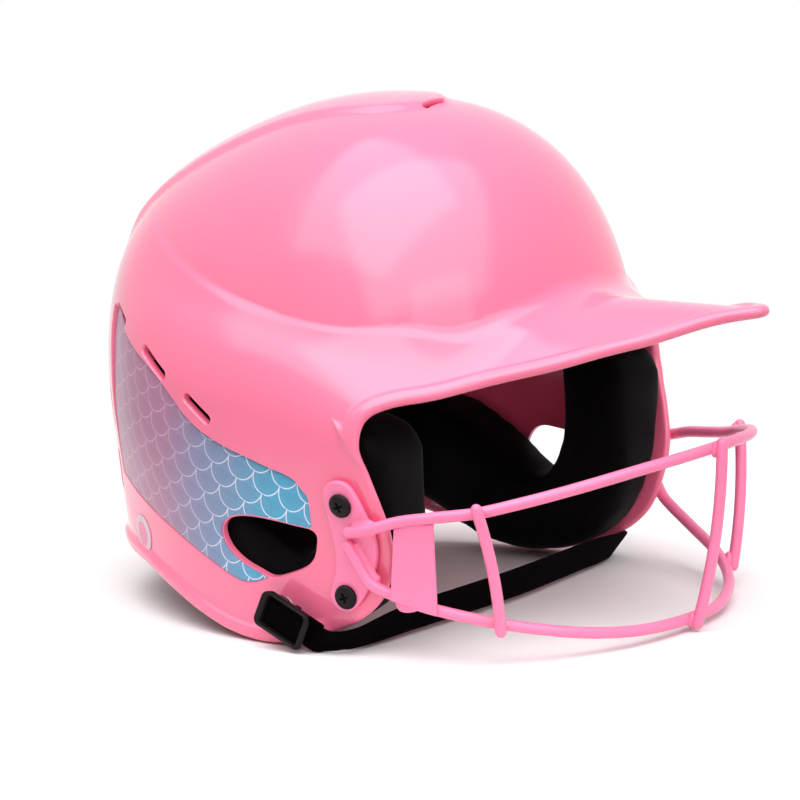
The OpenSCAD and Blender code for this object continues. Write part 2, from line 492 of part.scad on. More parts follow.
// Webbing from one cap down the flap, under the chin and up to the other cap
function leg(s, h, x = web_x) = [[x, stud_at[0] + web_dir[0] * s, stud_at[1] + web_dir[1] * s],
  h * [0, web_dir[1], -web_dir[0]], [web_t / 2, 0, 0]];
web_legs = [for (e = [[-6.6, 1.4], [-6.1, 3.4], [-4.6, 5.2], [-2.2, 6.4], [1, 6.5], [8, 6.5], [15, 6.5], [22, 6.5]])
  leg(e[0], e[1] * web_w / 13)];
function flip(s) = [[-s[0][0], s[0][1], s[0][2]], [-s[1][0], s[1][1], s[1][2]], [-s[2][0], s[2][1], s[2][2]]];
function back(l) = [for (i = [1:len(l)]) l[len(l) - i]];
web_ends = [for (e = web_legs) e[0]];
web_path = concat([flip(web_legs[7])[0]], [for (p = web_run) [p[0] * web_x / 105.3, p[1], p[2]]], [web_legs[7][0]]);
function free_st(i) = let (
    t = unit(web_path[i + 2] - web_path[i]),
    side = unit(cross(t, [0, 0, 1])),
    up = unit(cos(web_run[i][3]) * [0, 0, 1] + sin(web_run[i][3]) * side),
    w = unit(up - (up * t) * t))
  [web_path[i + 1], w * web_w / 2, unit(cross(w, t)) * web_t / 2];
module strap_web() color(black) difference() {
  ribbon(concat([for (l = web_legs) [flip(l)[0], flip(l)[1], -flip(l)[2]]],
    [for (i = [0:len(web_run) - 1]) free_st(i)],
    [for (l = back(web_legs)) [l[0], l[1], -l[2]]]));
  both() along_x(web_x - 5) cylinder(h = 10, d = 7.2, $fn = 32);
}
// Folded tail of the webbing through the buckle
module strap_tail() color(black) at_right() ribbon([for (e = [[-6.8, -1.7], [-6.4, -1], [-5.4, -0.3], [-3, 0], [16, 0]])
  let (s = leg(e[0], web_w / 2 - 0.3, web_x + 3.1 + e[1])) [s[0], s[1], e[0] < -4 ? [web_t / 2 * 0.7, 0.4, 0.18] : s[2]]]);
// Slide buckle: end bars over the tail, centre bar under it
module buckle() color(black) at_right() translate([0, stud_at[0] + web_dir[0] * buckle_s, stud_at[1] + web_dir[1] * buckle_s])
  rotate([atan2(-web_dir[1], -web_dir[0]), 0, 0]) {
    rail = web_w / 2 + 0.9;
    for (s = [-1, 1]) translate([web_x + 2.05, -buckle_l / 2 + 1, s * rail - 0.8]) cube([3.6, buckle_l - 2, 1.6]);
    for (s = [-1, 1]) translate([web_x + 4.15, s * (buckle_l / 2 - 1.6) - 1.6, -rail + 0.2]) cube([1.5, 3.2, 2 * rail - 0.4]);
    translate([web_x + 0.9, -4.8, -rail]) cube([1.15, 2.6, 2 * rail]);
    for (s = [-1, 1]) translate([web_x + 0.9, -4.8, s * rail - 0.8]) cube([1.4, 2.6, 1.6]);
  }

shell();
decal_right();
decal_left();
safety_sticker();
pad_brow();
pad_crown();
pad_neck_right();
pad_neck_left();
pad_jaw_right();
pad_jaw_left();
pad_cheek_right();
pad_cheek_left();
guard_wire_top();
guard_wire_bottom();
guard_bar_right();
guard_bar_centre();
guard_bar_left();
guard_blade();
guard_plate_right();
guard_plate_left();
screw_upper_right();
screw_lower_right();
screw_upper_left();
screw_lower_left();
nut_upper_right();
nut_lower_right();
nut_upper_left();
nut_lower_left();
snap_stud_right();
snap_stud_left();
snap_cap_right();
snap_cap_left();
strap_web();
strap_tail();
buckle();
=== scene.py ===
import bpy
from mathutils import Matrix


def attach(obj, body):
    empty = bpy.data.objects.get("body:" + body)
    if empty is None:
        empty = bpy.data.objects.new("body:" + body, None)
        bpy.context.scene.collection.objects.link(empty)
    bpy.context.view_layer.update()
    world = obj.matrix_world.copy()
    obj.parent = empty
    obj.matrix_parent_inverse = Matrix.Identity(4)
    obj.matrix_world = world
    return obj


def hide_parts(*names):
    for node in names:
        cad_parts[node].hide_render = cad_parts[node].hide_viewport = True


bl_info = {
    "name": "Batting helmet",
    "version": (1, 0, 0),
    "blender": (4, 5, 0),
    "location": "View3D > Sidebar > Helmet",
    "description": "Builds a softball batting helmet with guard, liner and chin strap on a packed frame",
    "category": "Add Mesh",
}

import math

import bmesh
import bpy
import numpy as np
from bpy.props import FloatProperty, FloatVectorProperty, PointerProperty
from mathutils import Matrix, Vector
from mathutils.geometry import delaunay_2d_cdt

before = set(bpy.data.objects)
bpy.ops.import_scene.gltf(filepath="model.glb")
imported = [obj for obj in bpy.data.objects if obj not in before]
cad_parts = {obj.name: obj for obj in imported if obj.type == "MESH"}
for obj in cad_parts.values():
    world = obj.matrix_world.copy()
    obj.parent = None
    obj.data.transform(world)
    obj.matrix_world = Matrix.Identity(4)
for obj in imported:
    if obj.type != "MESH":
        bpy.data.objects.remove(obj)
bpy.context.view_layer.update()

# Knots of the shell, in millimetres and degrees
CENTRE = np.array([0.0, -5.0, 84.0])
# Valley between the dome and the ledge: its height by bearing
VALLEY_Z = [[0, 136.5], [12, 133.2], [25, 129.5], [42, 124.4], [55, 128.5], [75, 131.5], [90, 135],
            [110, 142], [132, 153], [150, 163], [180, 168]]
# Ledge by bearing: its slope, and how far out it passes the valley's height
LEDGE_K = [[0, 0.02], [12, -0.18], [25, -0.4], [42, -0.74], [55, -1], [75, -1.1], [110, -1.2],
           [132, -1.3], [180, -1.6]]
LEDGE_R = [[0, 100], [25, 94], [42, 92], [75, 95], [110, 96], [132, 101], [150, 106], [180, 111]]
# Radius of the fillet along the valley, by bearing
FILLET = [[0, 15], [40, 16], [70, 6], [180, 5]]
# Lean of the skirt: share of its plan by elevation
LEAN = [[-60, 0.88], [-40, 0.892], [-28, 0.905], [-21, 0.922], [-13, 0.957], [-5, 0.985], [3, 1], [60, 1]]
# Dome: reach to the front, power of its plan, depth below the centre, powers of its upright section
DOME_FRONT = 89.5
DOME_PLAN = 2.1
DOME_BELOW = 260
DOME_SECTION = 2.17
DOME_SECTION_TURN = 0.34
# Swell at the back of the dome: its share, elevation and spread
SWELL = 0.1
SWELL_AT = 30
SWELL_SPREAD = 22.5
# Skirt: reach to the front and back, and power of its plan
SKIRT_FRONT = 222
SKIRT_BACK = 125
SKIRT_PLAN = 2.25
# Blends of the ledge into the valley floor and into the skirt
FLOOR_BLEND = 4
SKIRT_BLEND = 14
# Centre band: half width at the front, what it gains to the back, its front end, edge and lowest height
BAND_HALF = 20
BAND_GAIN = 16
BAND_FRONT = 22
BAND_EDGE = 7
BAND_LOW = 140
# Rim from the back centre round the left flap and along the brim to the front centre
RIM_HALF = [[0, 119, 27], [30, 114, 26], [57, 101, 24], [77, 79, 21], [88, 58, 15], [94, 40, 9],
            [98, 22, 3.2], [99.5, 6, 0.6], [100, -8, 0.8], [100, -22, 4.4], [99.5, -38, 9.8],
            [99.5, -52, 18], [99.8, -60.5, 28], [101.5, -65, 41], [104, -65.5, 53], [106.6, -62.5, 66],
            [108.8, -59, 78], [110, -56, 89], [107, -58, 100], [99, -66, 105], [88, -81, 108],
            [75, -101.3, 114.1], [61, -125.7, 120.6], [46, -149.2, 128], [31, -167, 133],
            [15, -177, 137], [0, -180, 136.6]]
CROWN_DIR = np.array([0.0, math.cos(math.radians(50)), math.sin(math.radians(50))])
# Ear opening seen from the side, as back and height
EAR_PORT = [[11, 52.5], [17, 50], [20.5, 45], [18, 38.5], [11, 33.5], [3, 30.5], [-4, 28.5], [-13, 31],
            [-21, 34.5], [-25.5, 38.5], [-27.8, 44], [-28.2, 50], [-18, 51.5], [-6, 52.8], [3, 53.2]]
PORT_LEFT = [[-5 + (y + 5) * 0.5 if y > -5 else y, z] for y, z in EAR_PORT]
# Decal panel by bearing: upper and lower edge heights
PANEL_HI = [[78, 66], [81, 72.2], [87.4, 76.2], [93.8, 80.2], [98, 82.6], [102.2, 85.8], [105.8, 89],
            [109.6, 93.6], [113.4, 100], [118, 106.6], [123.2, 111.4], [128.8, 115.6], [134.2, 119.8],
            [139.2, 124], [144, 127.4], [147, 128]]
PANEL_LO = [[78, 51.6], [80, 44], [86, 36], [92, 28], [95, 26], [98, 25], [102, 26], [106, 29], [115, 36],
            [122, 41.5], [136, 51], [147, 56]]
# Vents by bearing, height, tilt and length
VENTS = [[105.6, 97.7, 33, 17], [120.4, 113, 28, 21], [140, 126, 16, 18], [151, 56, 90, 16],
         [152, 82, 90, 16]]
# Slot on the crown: length, half width and place
TOP_SLOT = [16, 0.9]
TOP_SLOT_AT = [0, -21]
# Depth of the decal panel along its lower edge
PANEL_SHALLOW = 0.7
# Round label: radius, bearing and height, and where its middle gives way to the ring, in metres
LABEL_R = 8
LABEL_AT = [137.5, 33.5]
LABEL_MIDDLE = [0.0052, 0.0056]
# Guard wires from the right plate to the left plate
TOP_WIRE = [[-110.8, -50, 55], [-109.3, -60, 57], [-106.8, -73, 59.6], [-102.5, -88, 62],
            [-96, -104.5, 64.3], [-87, -117, 67.3], [-75, -128.5, 70.4], [-59, -138.8, 73.4],
            [-40, -146.8, 75.8], [-20, -152.4, 77.3], [0, -154.2, 77.7], [20, -152.2, 77],
            [40, -146, 75.2], [58, -136, 72.5], [72, -125, 69.3], [83, -113.5, 66], [91.5, -101, 62.5],
            [99, -86.5, 59.8], [105, -73, 57.5], [109.3, -60, 55.5], [110.8, -50, 54]]
LOW_WIRE = [[-109.9, -48.5, 49.2], [-108.3, -51, 43.5], [-107, -53.5, 37.5], [-105.8, -57, 32.3],
            [-104.3, -62, 29.5], [-103, -67.5, 27.7], [-98, -82, 22.8], [-86, -103.7, 17],
            [-68, -121, 11.8], [-48, -132, 8], [-26, -138.6, 5.8], [0, -140.7, 4.9], [25, -138, 4.6],
            [46, -130, 6], [64, -118.5, 8.8], [80, -102.5, 13.2], [93, -81.5, 19.5], [99.5, -68, 24.8],
            [103, -61, 28], [105.2, -57, 31.4], [107, -53.5, 37], [108.3, -51, 43],
            [109.9, -48.5, 48.4]]
# Bars: station on the upper wire, station on the lower wire, bow and overrun under the lower wire
BAR_ENDS = [[4, 7.1, 2, 2.6], [10, 11, 3, 1.6], [15.8, 14.6, 2, 2.6]]
# Blade: first and last station on the upper wire and on the lower wire, and its outward side
BLADE_ENDS = [[1.85, 2.95], [4.9, 6.15]]
BLADE_OUT = np.array([-0.96, -0.25, 0.1])
# How far welded wires sink into each other
SEAT = 0.04
# Mounting plate as back and height
PLATE_EDGE = [[-38.5, 69], [-40.5, 73], [-44.5, 75], [-50, 74.5], [-54, 70], [-57.5, 61.5], [-60, 53],
              [-60, 46], [-58, 39], [-55.5, 33], [-51.5, 26.5], [-47, 20.8], [-43, 18.2], [-39, 18.2],
              [-35.8, 20.5], [-34.4, 24.2], [-35.8, 29], [-38.5, 36], [-39.5, 44], [-39.5, 52], [-39, 61]]
# Screws and strap studs as back and height
SCREW_AT = [[-47, 65.3], [-43, 25]]
STUD_AT = [-9.5, 15.4]
# How far the middle of the strap lies from the skin at the studs
WEB_OFF = 4.55
# Side run of the strap: its way down and its way across
WEB_DIR = np.array([0.0, -0.91, -0.414])
WEB_SIDE = np.array([0.0, -0.414, 0.91])
# Side run of the strap: distance past the stud and half width at 13 mm webbing
WEB_LEGS = [[-6.6, 1.4], [-6.1, 3.4], [-4.6, 5.2], [-2.2, 6.4], [1, 6.5], [8, 6.5], [15, 6.5], [22, 6.5]]
# Free run of the strap under the chin, and the lean of its upper edge
WEB_RUN = [[-104.7, -32.2, 6, 28], [-104, -36, 5.6, 40], [-101.6, -39.6, 5.8, 42], [-97.6, -42.4, 6.2, 36],
           [-91, -44, 6.9, 28], [-81, -45, 7.7, 20], [-66, -45.6, 8.3, 14], [-48, -46.6, 8.5, 12],
           [-25, -48, 8.6, 10], [0, -48.6, 8.6, 10], [25, -48, 8.6, 10], [48, -46.2, 8.5, 12],
           [66, -44.6, 8.3, 14], [81, -43.6, 7.7, 20], [91, -42.2, 6.9, 28], [97.6, -40, 6.2, 36],
           [101.6, -37.2, 5.8, 42], [104, -34, 5.6, 40], [104.7, -31.6, 6, 28]]
# Side pad by bearing and height: up the cheek, along the ear opening and round to the nape
PAD_EDGE = [[76.5, 98], [67.5, 98.5], [63, 94], [61.2, 84], [61, 72], [60.5, 60], [60, 50], [60, 40],
            [62, 29], [65.5, 19], [73, 9.5], [82, 4.5], [92, 3.5], [101, 5.5], [109, 10], [117, 16],
            [127, 23], [140, 28], [158, 30.5], [178, 31], [179, 60], [178, 92], [168, 90], [154, 83],
            [140, 76], [126, 70.5], [117, 67.5], [111.5, 65.6], [107.5, 63], [100.5, 56], [93, 47.6],
            [88, 42], [84, 38.9], [80.8, 42.5], [78.3, 49], [77, 57], [76.5, 66], [76.5, 78], [76.8, 90]]
# Millimetres that a degree of bearing counts for in the pad's outline
PAD_STRETCH = 1.8


def smin(a, b, k):
    h = np.maximum(k - np.abs(a - b), 0) / k
    return np.minimum(a, b) - h * h * k / 4


def smax(a, b, k):
    return -smin(-a, -b, k)


def step(t):
    u = np.clip(t, 0, 1)
    return u * u * (3 - 2 * u)


def unit(v):
    v = np.asarray(v, float)
    return v / np.linalg.norm(v, axis=-1, keepdims=True)


def track(knots, t):
    """Smooth curve through knots, flat at both ends."""
    x, y = np.array(knots, float).T
    m = np.zeros(len(x))
    m[1:-1] = (y[2:] - y[:-2]) / (x[2:] - x[:-2])
    u = np.clip(t, x[0], x[-1])
    i = np.clip(np.searchsorted(x, u, side="right") - 1, 0, len(x) - 2)
    h = x[i + 1] - x[i]
    s = (u - x[i]) / h
    s2, s3 = s * s, s * s * s
    return ((2 * s3 - 3 * s2 + 1) * y[i] + (s3 - 2 * s2 + s) * h * m[i]
            + (3 * s2 - 2 * s3) * y[i + 1] + (s3 - s2) * h * m[i + 1])


def curve(points, m, closed=False):
    """Catmull-Rom curve through points with m pieces to a span."""
    p = np.asarray(points, float)
    n = len(p)
    t = (np.arange(m) / m)[:, None]
    out = []
    for i in range(n if closed else n - 1):
        if closed:
            a, b, c, e = p[i - 1], p[i], p[(i + 1) % n], p[(i + 2) % n]
        else:
            a, b, c, e = p[max(i - 1, 0)], p[i], p[i + 1], p[min(i + 2, n - 1)]
        out.append(0.5 * (2 * b + (c - a) * t + (2 * a - 5 * b + 4 * c - e) * t * t
                          + (3 * b - a - 3 * c + e) * t ** 3))
    if not closed:
        out.append(p[-1:])
    return np.vstack(out)


def lengths(points):
    """Length along a line up to each of its points."""
    return np.concatenate([[0], np.cumsum(np.linalg.norm(np.diff(points, axis=0), axis=1))])


def flat(d):
    return np.hypot(d[..., 0], d[..., 1])


def bearing(d):
    return np.degrees(np.arctan2(np.abs(d[..., 0]), -d[..., 1]))


def rise(d):
    return np.degrees(np.arctan2(d[..., 2], flat(d)))


class Skin:
    """Outer surface of the shell as a distance from its centre along a direction, in millimetres."""

    def __init__(self, size):
        self.size = size

    def plan(self, d, w, f, b, p):
        side = np.abs(d[..., 0]) / w
        return (side ** p + (np.abs(d[..., 1]) / np.where(d[..., 1] < 0, f, b)) ** p) ** (1 / p)

    def dome(self, d):
        q = DOME_SECTION - DOME_SECTION_TURN * d[..., 1]
        hor = self.plan(d, self.size["dome_half"], DOME_FRONT, self.size["dome_back"], DOME_PLAN)
        ver = np.abs(d[..., 2]) / np.where(d[..., 2] > 0, self.size["dome_high"], DOME_BELOW)
        back = np.maximum(d[..., 1] / np.maximum(flat(d), 0.01), 0)
        swell = SWELL * back * back * np.exp(-((rise(d) - SWELL_AT) / SWELL_SPREAD) ** 2)
        return (1 + swell) / (hor ** q + ver ** q) ** (1 / q)

    def band(self, p):
        half = BAND_HALF + BAND_GAIN * np.clip((p[..., 1] + 20) / 100, 0, 1)
        front = np.hypot(p[..., 0], p[..., 1] * half / BAND_FRONT)
        off = np.where(p[..., 1] < 0, front, np.abs(p[..., 0]))
        fade = np.clip((p[..., 2] - BAND_LOW) / 20, 0, 1)
        return self.size["band_rise"] * step((half - off) / BAND_EDGE + 0.5) * fade

    def ledge(self, d):
        a = bearing(d)
        z = track(VALLEY_Z, a) - CENTRE[2]
        k = track(LEDGE_K, a)
        den = d[..., 2] - k * flat(d)
        low = np.where(den > 0.03, (z - k * track(LEDGE_R, a)) / np.maximum(den, 0.03), 900)
        high = np.where(d[..., 2] > 0.05, (z + 1) / np.maximum(d[..., 2], 0.05), 900)
        return smin(low, high, FLOOR_BLEND)

    def wall(self, d):
        plan = self.plan(d, self.size["skirt_half"], SKIRT_FRONT, SKIRT_BACK, SKIRT_PLAN)
        return np.minimum(track(LEAN, rise(d)) / np.maximum(plan, 0.001), 900)

    def outer(self, d):
        r = self.dome(d)
        r = r + self.band(CENTRE + r[..., None] * d)
        return smax(r, smin(self.ledge(d), self.wall(d), SKIRT_BLEND), track(FILLET, bearing(d)))

    def at(self, d):
        return CENTRE + self.outer(d)[..., None] * d

    def normal(self, d, h=0.004):
        near_pole = np.abs(d[..., 2:3]) > 0.9
        e = unit(np.cross(d, np.where(near_pole, np.array([0.0, 1, 0]), np.array([0.0, 0, 1]))))
        f = np.cross(e, d)
        up = self.at(unit(d + h * f)) - self.at(unit(d - h * f))
        across = self.at(unit(d + h * e)) - self.at(unit(d - h * e))
        return unit(np.cross(up, across))

    def drop(self, p, axis):
        """Points moved along one axis until they lie on the surface."""
        p = np.array(p, float)
        for _ in range(8):
            v = p - CENTRE
            l = np.linalg.norm(v, axis=-1)
            p[..., axis] += (self.outer(v / l[..., None]) - l) * l / v[..., axis]
        return p

    def belt(self, a, z):
        """Directions of the left side over bearings and heights."""
        a = np.radians(np.asarray(a, float))
        z = np.asarray(z, float) + 0 * a
        a = a + 0 * z
        r = np.full(a.shape, 110.0)
        for _ in range(8):
            d = unit(np.stack([r * np.sin(a), -r * np.cos(a), z - CENTRE[2]], -1))
            r = self.outer(d) * flat(d)
        return unit(np.stack([r * np.sin(a), -r * np.cos(a), z - CENTRE[2]], -1))

    def side(self, yz, off=0.0):
        """Points of the left side over back and height values, moved out along the normal."""
        yz = np.asarray(yz, float)
        p = self.drop(np.stack([np.full(yz.shape[:-1], 105.0), yz[..., 0], yz[..., 1]], -1), 0)
        return p + np.asarray(off)[..., None] * self.normal(unit(p - CENTRE))


def wire_point(w, t):
    """Point at a fractional station of a wire."""
    i = min(int(t), len(w) - 2)
    t = t - i
    a, b, c, e = (np.asarray(w[k], float) for k in (max(i - 1, 0), i, i + 1, min(i + 2, len(w) - 1)))
    return 0.5 * (2 * b + (c - a) * t + (2 * a - 5 * b + 4 * c - e) * t * t
                  + (3 * b - a - 3 * c + e) * t ** 3)


# Mesh helpers: points are in millimetres until an object is made
def turned_out(points, faces):
    """The faces, turned over if the closed mesh they make is inside out."""
    volume = 0.0
    for f in faces:
        a = points[f[0]]
        for i in range(1, len(f) - 1):
            volume += float(np.dot(a, np.cross(points[f[i]], points[f[i + 1]])))
    return faces if volume > 0 else [tuple(reversed(f)) for f in faces]


def make(name, points, faces, fix=True):
    points = np.asarray(points, float)
    faces = [tuple(int(i) for i in f) for f in faces]
    if fix:
        faces = turned_out(points, faces)
    mesh = bpy.data.meshes.new(name)
    mesh.from_pydata((points * 0.001).tolist(), [], faces)
    mesh.polygons.foreach_set("use_smooth", [True] * len(mesh.polygons))
    mesh.update()
    obj = bpy.data.objects.new(name, mesh)
    bpy.context.scene.collection.objects.link(obj)
    return obj


def merged(parts):
    """One list of points and faces from several."""
    points, faces, base = [], [], 0
    for p, f in parts:
        f = turned_out(p, f)
        points.append(p)
        faces += [tuple(i + base for i in g) for g in f]
        base += len(p)
    return np.vstack(points), faces


def loft(rings, cap=True):
    """Quads between closed rings of equal length, with a fan over each end."""
    rings = np.asarray(rings, float)
    m, n = rings.shape[:2]
    points = rings.reshape(-1, 3)
    faces = [(j * n + i, j * n + (i + 1) % n, (j + 1) * n + (i + 1) % n, (j + 1) * n + i)
             for j in range(m - 1) for i in range(n)]
    if cap:
        points = np.vstack([points, rings[0].mean(0), rings[-1].mean(0)])
        last = (m - 1) * n
        faces += [(m * n, (i + 1) % n, i) for i in range(n)]
        faces += [(m * n + 1, last + i, last + (i + 1) % n) for i in range(n)]
    return points, faces


def grown(outline, g):
    """A closed outline moved outwards by g."""
    p = np.asarray(outline, float)
    area = np.sum(p[:, 0] * np.roll(p[:, 1], -1) - p[:, 1] * np.roll(p[:, 0], -1))
    t = unit(np.roll(p, -1, 0) - np.roll(p, 1, 0))
    n = np.stack([t[:, 1], -t[:, 0]], -1) * (1 if area > 0 else -1)
    return p + g * n


def relaxed(outline, width, times=1):
    """A closed outline spaced evenly and with its corners rounded."""
    p = np.asarray(outline, float)
    q = np.vstack([p, p[:1]])
    s = lengths(q)
    n = max(int(s[-1] / width), 12)
    t = np.arange(n) / n * s[-1]
    p = np.stack([np.interp(t, s, q[:, 0]), np.interp(t, s, q[:, 1])], -1)
    for _ in range(times):
        p = 0.25 * np.roll(p, 1, 0) + 0.5 * p + 0.25 * np.roll(p, -1, 0)
    return p


def inside(outline, pts):
    x, y = pts[:, 0], pts[:, 1]
    hit = np.zeros(len(pts), bool)
    for (x0, y0), (x1, y1) in zip(outline, np.roll(outline, -1, 0)):
        cross = (y0 > y) != (y1 > y)
        hit ^= cross & (x < (x1 - x0) * (y - y0) / (y1 - y0 + 1e-12) + x0)
    return hit


def filled(outline, gap):
    """Flat triangulation of an outline with inner points gap apart; the outline keeps its numbers."""
    outline = np.asarray(outline, float)
    pts = outline
    if gap:
        lo, hi = outline.min(0), outline.max(0)
        gx, gy = np.meshgrid(np.arange(lo[0], hi[0], gap), np.arange(lo[1], hi[1], gap * 0.866))
        gx = gx + (np.arange(len(gx)) % 2)[:, None] * gap / 2
        inner = np.stack([gx.ravel(), gy.ravel()], -1)
        inner = inner[inside(grown(outline, -0.45 * gap), inner) & inside(outline, inner)]
        if len(inner):
            near = np.min(np.linalg.norm(inner[:, None] - outline[None], axis=-1), axis=1)
            pts = np.vstack([outline, inner[near > 0.4 * gap]])
    n = len(outline)
    out = delaunay_2d_cdt([Vector(p) for p in pts], [(i, (i + 1) % n) for i in range(n)], [], 1, 1e-6)
    back = {k: v[0] for k, v in enumerate(out[3]) if v}
    return pts, [tuple(back[i] for i in f) for f in out[2] if all(i in back for i in f)]


def slab(outline, rows, place, gap=3.0):
    """Closed solid over an outline; rows hold its growth and height, place puts it in space."""
    rings = [place(grown(outline, g), np.full(len(outline), h)) for g, h in rows]
    points, faces = loft(rings, cap=False)
    points = [points]
    n = len(outline)
    count = len(rows) * n
    for k, (g, h) in ((0, rows[0]), (len(rows) - 1, rows[-1])):
        pts, tris = filled(grown(outline, g), gap)
        extra = pts[n:]
        if len(extra):
            points.append(place(extra, np.full(len(extra), h)))
        number = [k * n + i for i in range(n)] + [count + i for i in range(len(extra))]
        count += len(extra)
        flip = sum(np.cross(pts[b] - pts[a], pts[c] - pts[a]) for a, b, c in tris[:1]) > 0
        tris = [tuple(number[i] for i in t) for t in tris]
        faces += [(t[0], t[2], t[1]) for t in tris] if flip == (k == 0) else tris
    return np.vstack(points), faces


def cleaned(obj):
    """Face normals made to agree, outwards."""
    bm = bmesh.new()
    bm.from_mesh(obj.data)
    bmesh.ops.remove_doubles(bm, verts=bm.verts, dist=1e-7)
    bmesh.ops.recalc_face_normals(bm, faces=bm.faces)
    bm.to_mesh(obj.data)
    bm.free()
    return obj


def applied(obj, kind, **settings):
    """Adds a modifier, applies it and returns the object."""
    mod = obj.modifiers.new(kind, kind)
    for key, value in settings.items():
        setattr(mod, key, value)
    shown = obj.evaluated_get(bpy.context.evaluated_depsgraph_get())
    mesh = bpy.data.meshes.new_from_object(shown)
    obj.modifiers.clear()
    old = obj.data
    obj.data = mesh
    mesh.name = old.name
    bpy.data.meshes.remove(old)
    return obj


def cut(obj, tools, solver="MANIFOLD"):
    for tool in tools:
        cleaned(tool)
        bpy.context.view_layer.update()
        before = len(obj.data.vertices)
        applied(obj, "BOOLEAN", operation="DIFFERENCE", object=tool, solver=solver)
        if len(obj.data.vertices) == before:
            raise RuntimeError(f"{tool.name} cut nothing from {obj.name}")
        bpy.data.meshes.remove(tool.data)
    return obj


def sharpened(obj, angle):
    obj.data.set_sharp_from_angle(angle=math.radians(angle))
    return obj


def tube(path, radius, sides=20):
    """Tube along a path with domed ends, its rings turned without twist."""
    p = np.asarray(path, float)
    t = unit(np.gradient(p, axis=0))
    u = unit(np.cross(t[0], [0.1, 0.3, 1]))
    angle = np.arange(sides) * 2 * np.pi / sides
    frames = []
    for along in t:
        u = unit(u - np.dot(u, along) * along)
        frames.append((u, np.cross(along, u)))

    def ring(c, k, r):
        a, b = frames[k]
        return c + r * (np.cos(angle)[:, None] * a + np.sin(angle)[:, None] * b)

    caps = np.radians([80, 60, 40, 20])
    rings = [ring(p[0] - t[0] * radius * math.sin(c), 0, radius * math.cos(c)) for c in caps]
    rings += [ring(p[i], i, radius) for i in range(len(p))]
    rings += [ring(p[-1] + t[-1] * radius * math.sin(c), -1, radius * math.cos(c)) for c in reversed(caps)]
    return loft(rings)


def lathed(profile, origin, axis, sides=48, inner=False):
    """Turned piece: profile holds radius and height pairs along the axis."""
    axis = unit(axis)
    u = unit(np.cross(axis, [0.13, 0.2, 1] if abs(axis[2]) < 0.9 else [1, 0, 0]))
    v = np.cross(axis, u)
    angle = np.arange(sides) * 2 * np.pi / sides
    rings = [origin + h * axis + max(r, 0.01) * (np.cos(angle)[:, None] * u + np.sin(angle)[:, None] * v)
             for r, h in profile]
    if inner:
        return loft(rings + rings[:1], cap=False)
    return loft(rings)


def band(centres, wide, thick, sides, flat_power=7.0, edge_power=2.6):
    """Flat strip with rounded edges from centres, half width vectors and half thickness vectors."""
    angle = np.arange(sides) * 2 * np.pi / sides
    c, s = np.cos(angle), np.sin(angle)
    x = np.sign(c) * np.abs(c) ** (2 / flat_power)
    y = np.sign(s) * np.abs(s) ** (2 / edge_power)
    rings = [a + x[:, None] * w + y[:, None] * t for a, w, t in zip(centres, wide, thick)]
    return loft(rings)


# Materials
def linear(colour):
    """Scene-linear colour from 0 to 255 values."""
    c = np.asarray(colour, float) / 255
    return tuple(np.where(c <= 0.04045, c / 12.92, ((c + 0.055) / 1.055) ** 2.4)) + (1.0,)


def toned(base, share, add=0.0):
    """A colour scaled and lifted."""
    return tuple(min(c * share + add, 1.0) for c in base[:3]) + (1.0,)


def node(tree, kind, values=None, **settings):
    """A node with its settings and inputs; an input given as a socket is linked."""
    n = tree.nodes.new(kind)
    for key, value in settings.items():
        setattr(n, key, value)
    for key, value in (values or {}).items():
        socket = n.inputs[key]
        if isinstance(value, bpy.types.NodeSocket):
            tree.links.new(value, socket)
        else:
            socket.default_value = value
    return n


def maths(tree, operation, a, b=0.0, c=0.0):
    return node(tree, "ShaderNodeMath", {0: a, 1: b, 2: c}, operation=operation).outputs[0]


def mixed(tree, factor, a, b):
    n = node(tree, "ShaderNodeMix", {0: factor, 6: a, 7: b}, data_type="RGBA")
    return n.outputs[2]


def ramp(tree, factor, low, high, a=0.0, b=1.0):
    return node(tree, "ShaderNodeMapRange", {0: factor, 1: low, 2: high, 3: a, 4: b},
                interpolation_type="SMOOTHSTEP").outputs[0]


def blank(name):
    """A new material and its empty node tree."""
    mat = bpy.data.materials.new(name)
    mat.use_nodes = True
    mat.node_tree.nodes.clear()
    return mat, mat.node_tree


def new_group(name, inputs, outputs):
    tree = bpy.data.node_groups.new(name, "ShaderNodeTree")
    for label, kind, default in inputs:
        s = tree.interface.new_socket(label, in_out="INPUT", socket_type=kind)
        if default is not None:
            s.default_value = default
    for label, kind in outputs:
        tree.interface.new_socket(label, in_out="OUTPUT", socket_type=kind)
    return tree, tree.nodes.new("NodeGroupInput"), tree.nodes.new("NodeGroupOutput")


# Scale of the slow waviness of mouldings, and of one unit of grain height in metres
WAVE_SIZE = 45.0
GRAIN_HEIGHT = 0.0001


